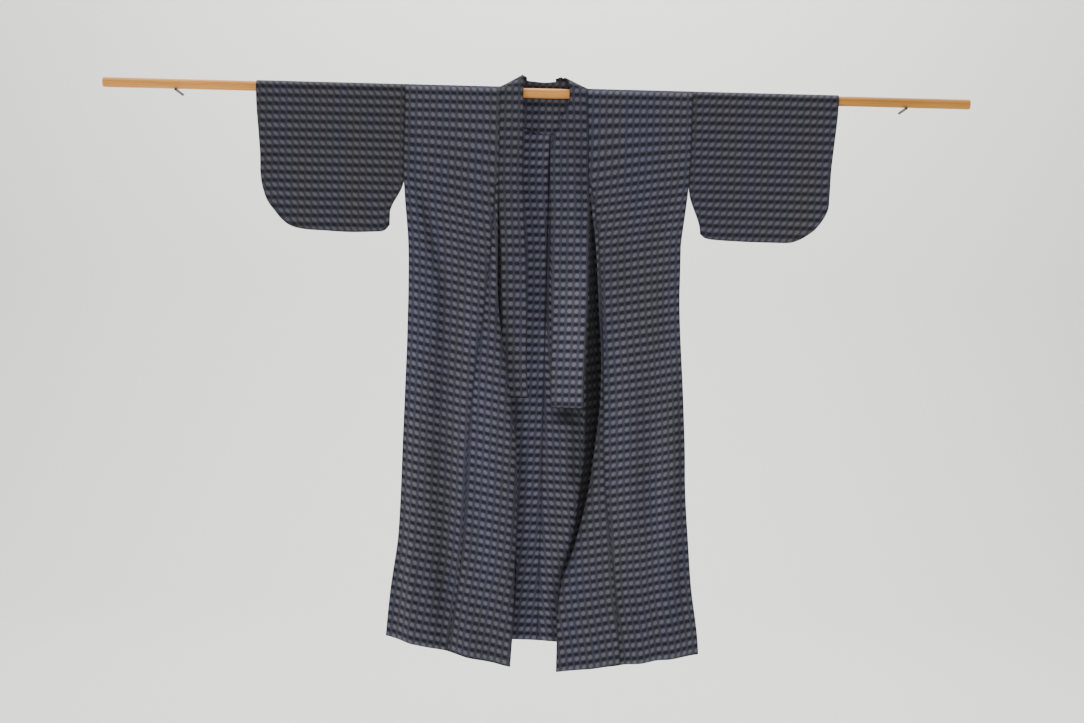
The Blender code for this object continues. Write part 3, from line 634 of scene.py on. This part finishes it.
# painted light and shade on the band: height below the rod, then at its seam, middle and free edge
toneColumns = ("drop", "seam", "middle", "free")
bandPaintedTone = {
    "left": (
        (0.00, 0.88, 0.90, 0.92),
        (0.05, 0.87, 0.90, 0.95),
        (0.15, 0.84, 0.84, 0.86),
        (0.25, 0.82, 0.84, 0.95),
        (0.37, 0.86, 0.92, 1.02),
        (0.50, 0.78, 0.95, 1.06),
        (0.62, 0.62, 1.00, 1.16),
        (0.75, 0.60, 1.00, 1.16),
    ),
    "right": (
        (0.00, 0.85, 0.90, 0.95),
        (0.05, 0.82, 0.86, 0.88),
        (0.10, 0.80, 0.85, 0.92),
        (0.15, 0.80, 0.83, 1.00),
        (0.25, 0.88, 0.92, 1.03),
        (0.37, 1.22, 1.08, 1.10),
        (0.50, 1.36, 1.20, 1.30),
        (0.62, 1.40, 1.26, 1.33),
        (0.75, 1.40, 1.26, 1.33),
    ),
}


def bandHalf(side):
    # seam edge and free edge from the band's front end to the centre back
    sign = sides[side]["sign"]
    drops = np.linspace(0, sides[side]["bandEnd"] / (1 + hemTilt(side)), bandSteps["front"] + 1)[::-1]
    edge = frontEdge(side, drops)
    front = np.stack((edge[:, 0] + band["overlap"], edge[:, 1], -drops * (1 + hemTilt(side))), axis=1)
    runs, across = upperEdge(side, bandSteps, -band["overlap"])
    seam = np.concatenate((front, np.stack((across, *wrap(runs)), axis=1))) * np.array((sign, 1, 1))
    run = np.concatenate((-drops - quarterWrap, runs))
    drift = seam[:, 0] - seam[len(drops) - 1, 0]
    drift[len(drops):] = 0
    inward, back, up = (readTable(bandEdge[side], bandColumns, name, run) for name in bandColumns[1:])
    return seam, seam + np.stack((-sign * inward, back, up), axis=1), run, drift


def bandPaintedLight(x, run, share):
    # the painted light and shade at one place, read from the three columns of its side
    drop = np.maximum(-run, 0) + 0 * x
    away = 2 * share + 0 * x
    tones = {}
    for side in bandPaintedTone:
        seam, middle, free = (readTable(bandPaintedTone[side], toneColumns, name, drop)
                              for name in toneColumns[1:])
        nearSeam = seam + (middle - seam) * away
        nearFree = middle + (free - middle) * (away - 1)
        tones[side] = np.where(away < 1, nearSeam, nearFree)
    return np.where(x < 0, tones["left"], tones["right"])


def collarBand():
    # One long band, straight across from its seam edge to its free edge. Its rows lie level all
    # round: across on the fronts, along it behind the neck.
    halves = zip(bandHalf("left"), bandHalf("right"))
    seam, free, run, drift = (np.concatenate((left, right[-2::-1])) for left, right in halves)
    share = evenSteps(bandSteps["across"])
    grid = seam[:, None] + (free - seam)[:, None] * share[:, :, None]
    down = -run[:, None] - quarterWrap
    onFront = smoothStep((down - band["creaseTop"]) / band["creaseTop"])
    onFront = onFront * smoothStep(share / band["creaseSeam"])
    deep = creases(collarCreases, grid[:, :, 0], grid[:, :, 2]) * onFront
    grid[:, :, 1] += deep
    level = np.abs(run)[:, None] - (grid[:, :, 2] - seam[:, None, 2])
    weave = gridOf(grid[:, :, 0] - drift[:, None], level)
    endAway = edgeDistance(grid, "top", "bottom")
    # painted light and shade: the band's tone, its creases, its ends, its top above the rod and behind the
    # neck
    atEnd = smoothStep(1 - endAway / band["endWidth"])
    behind = smoothStep((run[:, None] - band["neckFrom"]) / band["neckEase"])
    below = smoothStep((-grid[:, :, 2] - band["lowFrom"]) / band["lowEase"])
    above = smoothStep((grid[:, :, 2] - hang["radius"]) / band["topEase"])
    shade = creasePaintedShade(deep) * bandPaintedLight(grid[:, :, 0], run[:, None], share)
    shade = shade * (1 - band["endPaintedShade"] * atEnd) * (1 - band["topPaintedShade"] * above)
    shade = shade * (1 + band["neckPaintedLight"] * behind * below)
    return clothObject("robeCollar", grid, weave, edgeDistance(grid, "first", "last"), endAway, shade,
                       thickness=cloth["bandThickness"])


# one row for each ring of a sleeve: its reach at the rod and at the bottom, its depth, and the
# shares of that depth between which its edge moves from one reach to the other
sleeveColumns = ("ring", "top", "bottom", "depth", "leaves", "out")
sleeveRings = {
    "left": (
        (0, 0.3200, 0.3480, 0.3020, 0.66, 0.92),
        (1, 0.3440, 0.3610, 0.3150, 0.50, 0.96),
        (2, 0.3800, 0.3870, 0.3180, 0.00, 1.00),
        (3, 0.4350, 0.4400, 0.3200, 0.00, 1.00),
        (4, 0.4900, 0.4940, 0.3180, 0.00, 1.00),
        (5, 0.5350, 0.5380, 0.3160, 0.00, 1.00),
        (6, 0.5700, 0.5680, 0.3090, 0.00, 1.00),
        (7, 0.5950, 0.5880, 0.2955, 0.00, 1.00),
        (8, 0.6150, 0.6060, 0.2750, 0.00, 1.00),
        (9, 0.6300, 0.6220, 0.2540, 0.00, 1.00),
        (10, 0.6410, 0.6330, 0.2250, 0.00, 1.00),
        (11, 0.6480, 0.6372, 0.2040, 0.00, 1.00),
        (12, 0.6520, 0.6392, 0.1880, 0.00, 1.00),
    ),
    "right": (
        (0, 0.3200, 0.3450, 0.3040, 0.64, 1.00),
        (1, 0.3440, 0.3580, 0.3135, 0.50, 1.00),
        (2, 0.3800, 0.3850, 0.3170, 0.00, 1.00),
        (3, 0.4350, 0.4400, 0.3190, 0.00, 1.00),
        (4, 0.4900, 0.4900, 0.3195, 0.00, 1.00),
        (5, 0.5350, 0.5420, 0.3190, 0.00, 1.00),
        (6, 0.5650, 0.5660, 0.3120, 0.00, 1.00),
        (7, 0.5880, 0.5860, 0.3000, 0.00, 1.00),
        (8, 0.6080, 0.6020, 0.2870, 0.00, 1.00),
        (9, 0.6230, 0.6180, 0.2660, 0.00, 1.00),
        (10, 0.6350, 0.6290, 0.2420, 0.00, 1.00),
        (11, 0.6410, 0.6310, 0.2150, 0.00, 1.00),
        (12, 0.6450, 0.6322, 0.1900, 0.00, 1.00),
    ),
}
sleeveForm = {
    "rings": 96,
    "side": 60,             # steps down each side, over the rod and round the bottom fold
    "over": 12,
    "under": 6,
    "foldRadius": 0.003,
    "blend": 0.060,         # how far from the armhole it takes its own form
    "ease": 0.020,          # how far creases take to fade out at the rod and the bottom fold
}
sleeveCreases = {
    ("left", "front"): (
        (-0.650, -0.098, -0.330, -0.104, 0.007, 0.0016),
        (-0.640, -0.150, -0.590, -0.130, 0.012, 0.0040),
        (-0.520, -0.262, -0.400, -0.205, 0.012, 0.0032),
        (-0.600, -0.240, -0.540, -0.160, 0.014, -0.0025),
        (-0.345, -0.130, -0.352, -0.290, 0.010, 0.0030),
        (-0.470, -0.150, -0.480, -0.060, 0.016, -0.0015),
    ),
    ("left", "back"): (
        (-0.600, -0.230, -0.460, -0.160, 0.014, 0.0030),
        (-0.360, -0.120, -0.420, -0.280, 0.012, 0.0026),
    ),
    ("right", "front"): (
        (0.330, -0.132, 0.630, -0.128, 0.007, 0.0014),
        (0.480, -0.020, 0.490, -0.230, 0.018, 0.0026),
        (0.335, -0.180, 0.372, -0.290, 0.011, 0.0036),
        (0.600, -0.080, 0.608, -0.230, 0.012, 0.0024),
        (0.420, -0.230, 0.540, -0.280, 0.014, -0.0022),
        (0.395, -0.040, 0.400, -0.180, 0.016, -0.0014),
    ),
    ("right", "back"): (
        (0.600, -0.220, 0.450, -0.150, 0.014, 0.0030),
        (0.360, -0.110, 0.430, -0.270, 0.012, 0.0026),
    ),
}


def sleeveGrid(side):
    # rings round the rod: over it, down the back, round the bottom fold and up the front
    sign = sides[side]["sign"]
    rows = sleeveRings[side]
    ring = np.linspace(0, len(rows) - 1, sleeveForm["rings"] + 1)
    top, bottom, depth, leaves, out = (readTable(rows, sleeveColumns, name, ring)[None, :]
                                       for name in sleeveColumns[1:])
    radius = sleeveForm["foldRadius"]
    fall = depth - radius
    blend = smoothStep((top - rows[0][1]) / sleeveForm["blend"])
    share = evenSteps(sleeveForm["side"]).T
    outward = smoothStep((share - leaves) / (out - leaves))
    across = top + (bottom - top) * outward
    # the first rings keep to the body's side line down to the underarm
    sideLine = readTable(frontLevels[side], frontColumns, "side", share * fall)
    across = across + (sideLine - rows[0][1]) * (1 - blend) * (1 - outward)
    plain = hang["radius"] + (radius - hang["radius"]) * share
    atArmhole = np.maximum(sideDepth(share * fall), radius)
    half = atArmhole + (plain - atArmhole) * blend
    down = -share * fall
    over = (evenSteps(sleeveForm["over"]).T - 0.5) * math.pi
    under = (0.5 - evenSteps(sleeveForm["under"]).T) * math.pi
    overPart = gridOf(top, hang["radius"] * np.sin(over), hang["radius"] * np.cos(over))
    backPart = gridOf(across, half, down)[1:-1]
    underPart = gridOf(bottom, half[-1:] * np.sin(under), -fall - half[-1:] * np.cos(under))
    frontPart = gridOf(across, -half, down)[-2:0:-1]
    for part, name, way in ((backPart, "back", -1), (frontPart, "front", 1)):
        ease = smoothStep(-part[:, :, 2] / sleeveForm["ease"])
        ease = ease * smoothStep((part[:, :, 2] + fall) / sleeveForm["ease"])
        deep = creases(sleeveCreases[side, name], sign * part[:, :, 0], part[:, :, 2])
        part[:, :, 1] += way * ease * deep
    grid = np.concatenate((overPart, backPart, underPart, frontPart)) * np.array((sign, 1, 1))
    return grid, depth


def sleeve(side):
    # the weave's rows are counted from the rod's top, down the back and down the front alike
    grid, depth = sleeveGrid(side)
    around = cumulative(grid.transpose(1, 0, 2)).T
    fromTop = np.abs(around - around[sleeveForm["over"] // 2])
    wayRound = around[-1] + np.linalg.norm(grid[-1] - grid[0], axis=1)
    weave = gridOf(np.abs(grid[:, :, 0]), np.minimum(fromTop, wayRound - fromTop))
    seamAway = np.minimum(edgeDistance(grid, "first"), np.abs(grid[:, :, 2] + depth))
    return clothObject("robeSleeve" + side.title(), grid, weave, seamAway, edgeDistance(grid, "last"),
                       np.ones(grid.shape[:2]), around=True)


# shader maths written as plain expressions
class Field:
    def __init__(self, tree, socket):
        self.tree = tree
        self.socket = socket

    def node(self, kind, settings=None, inputs=None, output=0):
        # any other node: its settings first, then values or links for its sockets
        made = self.tree.nodes.new(kind)
        for name, value in (settings or {}).items():
            setattr(made, name, value)
        for name, value in (inputs or {}).items():
            if isinstance(value, Field):
                self.tree.links.new(value.socket, made.inputs[name])
            else:
                made.inputs[name].default_value = value
        return Field(self.tree, made.outputs[output])

    def combine(self, operation, other=0.0):
        return self.node("ShaderNodeMath", {"operation": operation}, {0: self, 1: other})

    __add__ = partialmethod(combine, "ADD")
    __sub__ = partialmethod(combine, "SUBTRACT")
    __mul__ = partialmethod(combine, "MULTIPLY")
    __truediv__ = partialmethod(combine, "DIVIDE")
    __abs__ = partialmethod(combine, "ABSOLUTE")

    def fromMiddle(self, pitch):
        # how far this is from the middle of the repeat that it lies in
        return ((self / pitch).combine("FRACT") - 0.5) * pitch

    def below(self, limit, softness):
        # 1 well below the limit, 0 well above it
        return self.node("ShaderNodeMapRange", {"interpolation_type": "SMOOTHSTEP"},
                         {"Value": self, "From Min": limit - softness, "From Max": limit + softness,
                          "To Min": 1.0, "To Max": 0.0})

    def mix(self, first, second):
        # this field is the share of the second colour
        return self.node("ShaderNodeMix", {"data_type": "RGBA"}, {0: self, 6: first, 7: second}, output=2)

    def times(self, factors):
        # each part of a vector by a colour's or another vector's, or all by one field
        return self.node("ShaderNodeVectorMath", {"operation": "MULTIPLY"}, {0: self, 1: factors})

    def part(self, axis):
        return self.node("ShaderNodeSeparateXYZ", None, {0: self}, output=axis)

    def noise(self, vector, scale=1.0, detail=2.0, roughness=0.5):
        return self.node("ShaderNodeTexNoise", None,
                         {"Vector": vector, "Scale": scale, "Detail": detail, "Roughness": roughness})

    def bump(self, strength=1.0):
        # this field is a height in metres
        return self.node("ShaderNodeBump", None, {"Strength": strength, "Distance": 1.0, "Height": self})

    def feed(self, shader, name):
        self.tree.links.new(self.socket, shader.inputs[name])


def newMaterial(name, looks):
    # its own inputs first, and a field to start its other nodes from
    material = bpy.data.materials.new(name)
    material.use_nodes = True
    shader = material.node_tree.nodes["Principled BSDF"]
    for socket, value in looks.items():
        shader.inputs[socket].default_value = value
    return material, shader, Field(material.node_tree, None)


# the woven repeat: dark cells strung along a thin dark line, and in the same columns, half way
# between the lines, light ovals in a slightly greyer band. A pair is half a size and its softness.
pattern = {
    "cellSides": (0.0046, 0.0010),
    "cellEnds": (0.0034, 0.0017),
    "line": (0.0022, 0.0014),
    "greyBand": (0.0062, 0.0018),
    "ovalHalfWidth": 0.00465,
    "ovalHalfHeight": 0.00455,
    "ovalEdge": (1.0, 0.50),
    "feather": 0.0010,      # how ragged the dyed edges are
    "frayScale": (60, 1500),    # of the noise along a thread and across it
}

# each colour of the cloth, and how strongly it shows. An edge is a level and its softness.
dye = {
    "dark": (0.0089, 0.0090, 0.0146, 1.0),
    "darkShare": 0.96,
    "line": (0.0208, 0.0210, 0.0312, 1.0),
    "lineShare": 0.40,
    "ground": (0.0418, 0.0418, 0.0590, 1.0),
    "band": (0.0414, 0.0413, 0.0586, 1.0),
    "oval": (0.1115, 0.1100, 0.1420, 1.0),
    "ovalShare": 0.60,
    "ovalStreak": 0.55,     # more of it where the streaks are strong
    "worn": (0.0520, 0.0514, 0.0690, 1.0),
    "wornShare": 0.40,      # in uneven patches and streaks
    "wornEdge": (0.50, 0.28),
    "patchScale": 9.0,
    "streakScale": (260, 7, 1),
    "blue": (0.95, 0.98, 1.07, 1.0),    # the dye has faded unevenly between these, in long streaks
    "green": (1.03, 1.01, 0.94, 1.0),
    "fadeScale": (16, 16, 1.6),
    "fadeEdge": (0.50, 0.16),
    "forwardEdge": (0.0, 0.3),          # how far round the painted light and shade of folds and laps reaches
}

# the dark at sewn edges: the seams' own dark line, with painted shade beside the seams and along the hems;
# how far it reaches and how soft it is, and how strong
sewn = {
    "seam": (0.0022, 0.0018),
    "seamShare": 0.30,
    "beside": (0.0055, 0.0045),
    "besideShare": 0.22,
    "hem": (0.0014, 0.0012),
    "hemShare": 0.75,
}

# the relief: heights in metres, noise scales, and each line's reach and softness
relief = {
    "wrinkle": 0.0016,
    "wrinkleScale": 26.0,
    "wrinkleStretch": (1.0, 1.0, 0.45),
    "swell": 0.0030,
    "swellScale": 9.0,
    "swellStretch": (1.0, 1.0, 0.3),
    "turnedUp": 0.0004,     # the turned-up hem is thicker
    "turnedUpSoftness": 0.0010,
    "stitches": 0.0004,     # and its stitches pull a shallow groove
    "stitchLine": (0.0011, 0.0010),
    "allowance": 0.00020,   # the cloth turned in beside a seam
    "allowanceLine": (0.0100, 0.0012),
    "groove": 0.0005,       # of the seam itself
    "thread": 0.00003,
    "threadPitch": 0.00062,
}
clothLooks = {"Roughness": 0.88, "Specular IOR Level": 0.18, "Sheen Weight": 0.05, "Sheen Roughness": 0.6}


def wovenColour(start, weave, place, shift, slant):
    # single threads wander, which frays the edges of every dyed cell
    along, across = pattern["frayScale"]
    frayU = (start.noise(weave.times((along, across, 1))) - 0.5) * (2 * pattern["feather"])
    frayV = (start.noise(weave.times((across, along, 1))) - 0.5) * (2 * pattern["feather"])
    u = weave.part(0) + shift[0] + frayU
    v = weave.part(1) + shift[1] + frayV
    fromLine = v.fromMiddle(cloth["rowPitch"])
    fromBand = (v + cloth["rowPitch"] / 2).fromMiddle(cloth["rowPitch"])
    # every cell and oval leans: its column moves over by a share of the height above its middle
    cellX = (u + fromLine * slant).fromMiddle(cloth["columnPitch"])
    ovalX = (u + fromBand * slant).fromMiddle(cloth["columnPitch"]) / pattern["ovalHalfWidth"]
    ovalY = fromBand / pattern["ovalHalfHeight"]
    cell = abs(cellX).below(*pattern["cellSides"]) * abs(fromLine).below(*pattern["cellEnds"])
    line = abs(fromLine).below(*pattern["line"])
    greyBand = abs(fromBand).below(*pattern["greyBand"])
    # an oval is where (x / half width)^2 + (y / half height)^2 is under 1
    oval = (ovalX * ovalX + ovalY * ovalY).below(*pattern["ovalEdge"])
    streak = start.noise(weave.times(dye["streakScale"]), detail=3.0)
    patches = start.noise(place, dye["patchScale"], detail=3.0)
    worn = (patches * 0.5 + streak * 0.5).below(*dye["wornEdge"]) * dye["wornShare"]
    colour = greyBand.mix(dye["ground"], worn.mix(dye["band"], dye["worn"]))
    colour = (oval * (streak * dye["ovalStreak"] + dye["ovalShare"])).mix(colour, dye["oval"])
    colour = (line * dye["lineShare"]).mix(colour, dye["line"])
    return (cell * dye["darkShare"]).mix(colour, dye["dark"])


def clothHeight(start, weave, place, seam, hem):
    warp, weft = ((weave.part(axis) * (2 * math.pi / relief["threadPitch"])).combine("SINE")
                  for axis in (0, 1))
    wrinkles = start.noise(place.times(relief["wrinkleStretch"]), relief["wrinkleScale"],
                           detail=3.0, roughness=0.55)
    swells = start.noise(place.times(relief["swellStretch"]), relief["swellScale"], detail=1.0)
    turnedUp = hem.below(cloth["hem"], relief["turnedUpSoftness"])
    stitched = abs(hem - cloth["hem"]).below(*relief["stitchLine"])
    allowance = seam.below(*relief["allowanceLine"])
    groove = seam.below(*sewn["seam"])
    return (wrinkles * relief["wrinkle"] + swells * relief["swell"] + turnedUp * relief["turnedUp"]
            - stitched * relief["stitches"] + allowance * relief["allowance"]
            - groove * relief["groove"] + warp * weft * relief["thread"])


def clothMaterial(name, shift, slant, tint):
    material, shader, start = newMaterial(name, clothLooks)
    weave = start.node("ShaderNodeUVMap", {"uv_map": "weave"})
    place = start.node("ShaderNodeTexCoord", output=3)
    seam, hem, shade = (start.node("ShaderNodeAttribute", {"attribute_name": mark}, output=2)
                        for mark in ("seamAway", "hemAway", "shade"))
    # the seams' own dark line, with painted shade beside the seams and along the hems
    darkAndShadeAtSeams = (seam.below(*sewn["seam"]) * sewn["seamShare"]
                + seam.below(*sewn["beside"]) * sewn["besideShare"]
                + hem.below(*sewn["hem"]) * sewn["hemShare"])
    colour = darkAndShadeAtSeams.mix(wovenColour(start, weave, place, shift, slant), dye["dark"])
    faded = start.noise(place.times(dye["fadeScale"])).below(*dye["fadeEdge"])
    # the painted light and shade of folds and laps is only on the faces that look forward
    forward = start.node("ShaderNodeTexCoord", output=1).part(1).below(*dye["forwardEdge"])
    tone = (shade - 1) * forward + 1
    colour = colour.times(faded.mix(dye["blue"], dye["green"])).times(tint).times(tone)
    colour.feed(shader, "Base Color")
    clothHeight(start, weave, place, seam, hem).bump().feed(shader, "Normal")
    return material


wood = {
    "light": (0.760, 0.340, 0.075, 1.0),
    "dark": (0.500, 0.190, 0.038, 1.0),
    "dull": (0.260, 0.125, 0.012, 1.0),
    "shine": 0.18,
    "roughness": 0.36,
    "grainRoughness": 0.22, # more on the dark grain
    "bendScale": (3.0, 30, 30),
    "grainScale": (5.0, 420, 420),
    "poreScale": (40, 1600, 1600),
    "grainShare": 0.7,      # of the fine grain in the colour, the rest is the slow bend
    "grainEdge": (0.47, 0.16),
    "dullShare": 0.50,      # at the right end, and how much less it is at the left
    "dullLoss": 0.38,
    "dullEdge": (0.45, 0.40),
    "poreShare": 0.35,
    "poreEdge": (0.38, 0.1),
    "grainHeight": 0.0004,
    "poreHeight": 0.0001,
    "bump": 0.5,
}


def rodMaterial():
    # straight grain along the rod, duller towards its right end
    material, shader, start = newMaterial("rodWood", {"Specular IOR Level": wood["shine"]})
    place = start.node("ShaderNodeTexCoord", output=3)
    bend = start.noise(place.times(wood["bendScale"]))
    grain = start.noise(place.times(wood["grainScale"]), detail=4.0, roughness=0.6)
    pores = start.noise(place.times(wood["poreScale"]))
    darkGrain = (grain * wood["grainShare"] + bend * (1 - wood["grainShare"])).below(*wood["grainEdge"])
    dull = place.part(0).below(*wood["dullEdge"]) * -wood["dullLoss"] + wood["dullShare"]
    colour = dull.mix(darkGrain.mix(wood["light"], wood["dark"]), wood["dull"])
    colour = (pores.below(*wood["poreEdge"]) * wood["poreShare"]).mix(colour, wood["dark"])
    colour.feed(shader, "Base Color")
    (grain * wood["grainRoughness"] + wood["roughness"]).feed(shader, "Roughness")
    height = grain * wood["grainHeight"] + pores * wood["poreHeight"]
    height.bump(wood["bump"]).feed(shader, "Normal")
    return material


iron = {
    "dark": (0.050, 0.045, 0.042, 1.0),
    "rust": (0.150, 0.090, 0.055, 1.0),
    "metallic": 0.8,
    "roughness": 0.32,
    "rustRoughness": 0.4,
    "rustScale": 260.0,
    "rustEdge": (0.46, 0.14),
}


def pegMaterial():
    # dark worn iron
    material, shader, start = newMaterial("pegIron", {"Metallic": iron["metallic"]})
    rust = start.noise(start.node("ShaderNodeTexCoord", output=3), iron["rustScale"], detail=4.0)
    rust.below(*iron["rustEdge"]).mix(iron["dark"], iron["rust"]).feed(shader, "Base Color")
    (rust * iron["rustRoughness"] + iron["roughness"]).feed(shader, "Roughness")
    return material


# for each kind of piece: where in the weave it was cut, and how far its cells lean
weaves = {
    "body": ((0.004, 0.003), -0.26),
    "okumi": ((0.009, 0.011), -0.16),
    "sleeve": ((0.002, 0.007), 0.60),
    "collar": ((0.006, 0.005), 0.10),
}
# the sleeves are a little darker and warmer than the rest
sleeveTints = {"left": (0.81, 0.80, 0.75), "right": (0.88, 0.87, 0.82)}


def finishCloth(obj, kind, node, side="", tint=(1.0, 1.0, 1.0)):
    shift, slant = weaves[kind]
    obj.data.materials.append(clothMaterial(kind + "Cloth" + side.title(), shift, slant, tint))
    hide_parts(node)
    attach(obj, "root")


for side in sides:
    body, okumi, arm = bodyPanel(side), okumiPanel(side), sleeve(side)
    finishCloth(body, "body", "body_" + side, side)
    finishCloth(okumi, "okumi", "okumi_" + side, side)
    finishCloth(arm, "sleeve", "sleeve_" + side, side, sleeveTints[side])
collar = collarBand()
finishCloth(collar, "collar", "collar")
print("robe made")

for node, material in (("rod", rodMaterial()), ("peg_left", pegMaterial()), ("peg_right", pegMaterial())):
    nodes[node].data.materials.clear()
    nodes[node].data.materials.append(material)
print("rod and pegs finished")

# camera at the photo's own place: straight on, a little rolled
view = {"lens": 50.0, "sensor": 36.0, "distance": 3.36, "height": -0.598, "roll": -1.5, "clipEnd": 60}


def addCamera():
    data = bpy.data.cameras.new("camera")
    data.lens = view["lens"]
    data.sensor_width = view["sensor"]
    data.dof.use_dof = False
    data.clip_end = view["clipEnd"]
    camera = bpy.data.objects.new("camera", data)
    camera.location = (0, -view["distance"], view["height"])
    camera.rotation_euler = (math.pi / 2, math.radians(view["roll"]), 0)
    bpy.context.scene.collection.objects.link(camera)
    bpy.context.scene.camera = camera


# for each light: its place, what it points at, its size, power and colour
lights = {
    "windowLight": ((-4.7, -3.0, 0.2), (0, 0, -0.6), 1.4, 160, (0.95, 0.97, 1.0)),
    "roomLight": ((0.3, -5.5, -0.2), (0, 0, -0.6), 2.4, 112, (1.0, 0.98, 0.95)),
    "sideLight": ((4.5, -1.4, 0.2), (0.3, 0, -0.6), 1.6, 70, (1.0, 0.98, 0.95)),
    "ceilingLight": ((0.6, -2.8, 3.6), (0, 0, -0.5), 2.0, 30, (1.0, 0.92, 0.80)),
    "wallLight": ((0, 2.0, 5.5), (0, 7.0, -0.5), 5.0, 1260, (1.0, 0.99, 0.97)),
}
room = {"colour": (0.95, 0.97, 1.0, 1.0), "strength": 0.12}


def addLight(name, place, aim, size, power, colour):
    data = bpy.data.lights.new(name, "AREA")
    data.size = size
    data.energy = power
    data.color = colour
    light = bpy.data.objects.new(name, data)
    light.location = place
    x, y, z = np.array(aim) - np.array(place)
    light.rotation_euler = (math.atan2(math.hypot(x, y), -z), 0, math.atan2(y, x) - math.pi / 2)
    bpy.context.scene.collection.objects.link(light)


def addRoomGlow():
    world = bpy.data.worlds.new("room")
    world.use_nodes = True
    glow = world.node_tree.nodes["Background"]
    glow.inputs["Color"].default_value = room["colour"]
    glow.inputs["Strength"].default_value = room["strength"]
    bpy.context.scene.world = world


backdrop = {
    "floor": -2.0,
    "wall": 7.0,
    "front": -9.0,
    "half": 14.0,
    "top": 9.0,
    "bend": 2.0,
    "bendSteps": 16,
}
backdropLooks = {"Base Color": (0.80, 0.80, 0.79, 1.0), "Roughness": 0.9}


def addBackdrop():
    # a floor that curves up into a wall: straight, a quarter circle, straight
    bend = backdrop["bend"]
    angle = evenSteps(backdrop["bendSteps"])[0] * math.pi / 2
    away = backdrop["wall"] - bend + bend * np.sin(angle)
    up = backdrop["floor"] + bend - bend * np.cos(angle)
    y = np.concatenate(((backdrop["front"],), away, (backdrop["wall"],)))
    z = np.concatenate(((backdrop["floor"],), up, (backdrop["top"],)))
    x = np.array((-backdrop["half"], backdrop["half"]))
    grid = gridOf(x, y[:, None], z[:, None])
    obj = gridObject("backdrop", grid, np.arange(grid.shape[0] * 2).reshape(-1, 2))
    material = newMaterial("backdropPaint", backdropLooks)[0]
    obj.data.materials.append(material)


addCamera()
addBackdrop()
for name, values in lights.items():
    addLight(name, *values)
addRoomGlow()
print("camera, lights and backdrop placed")
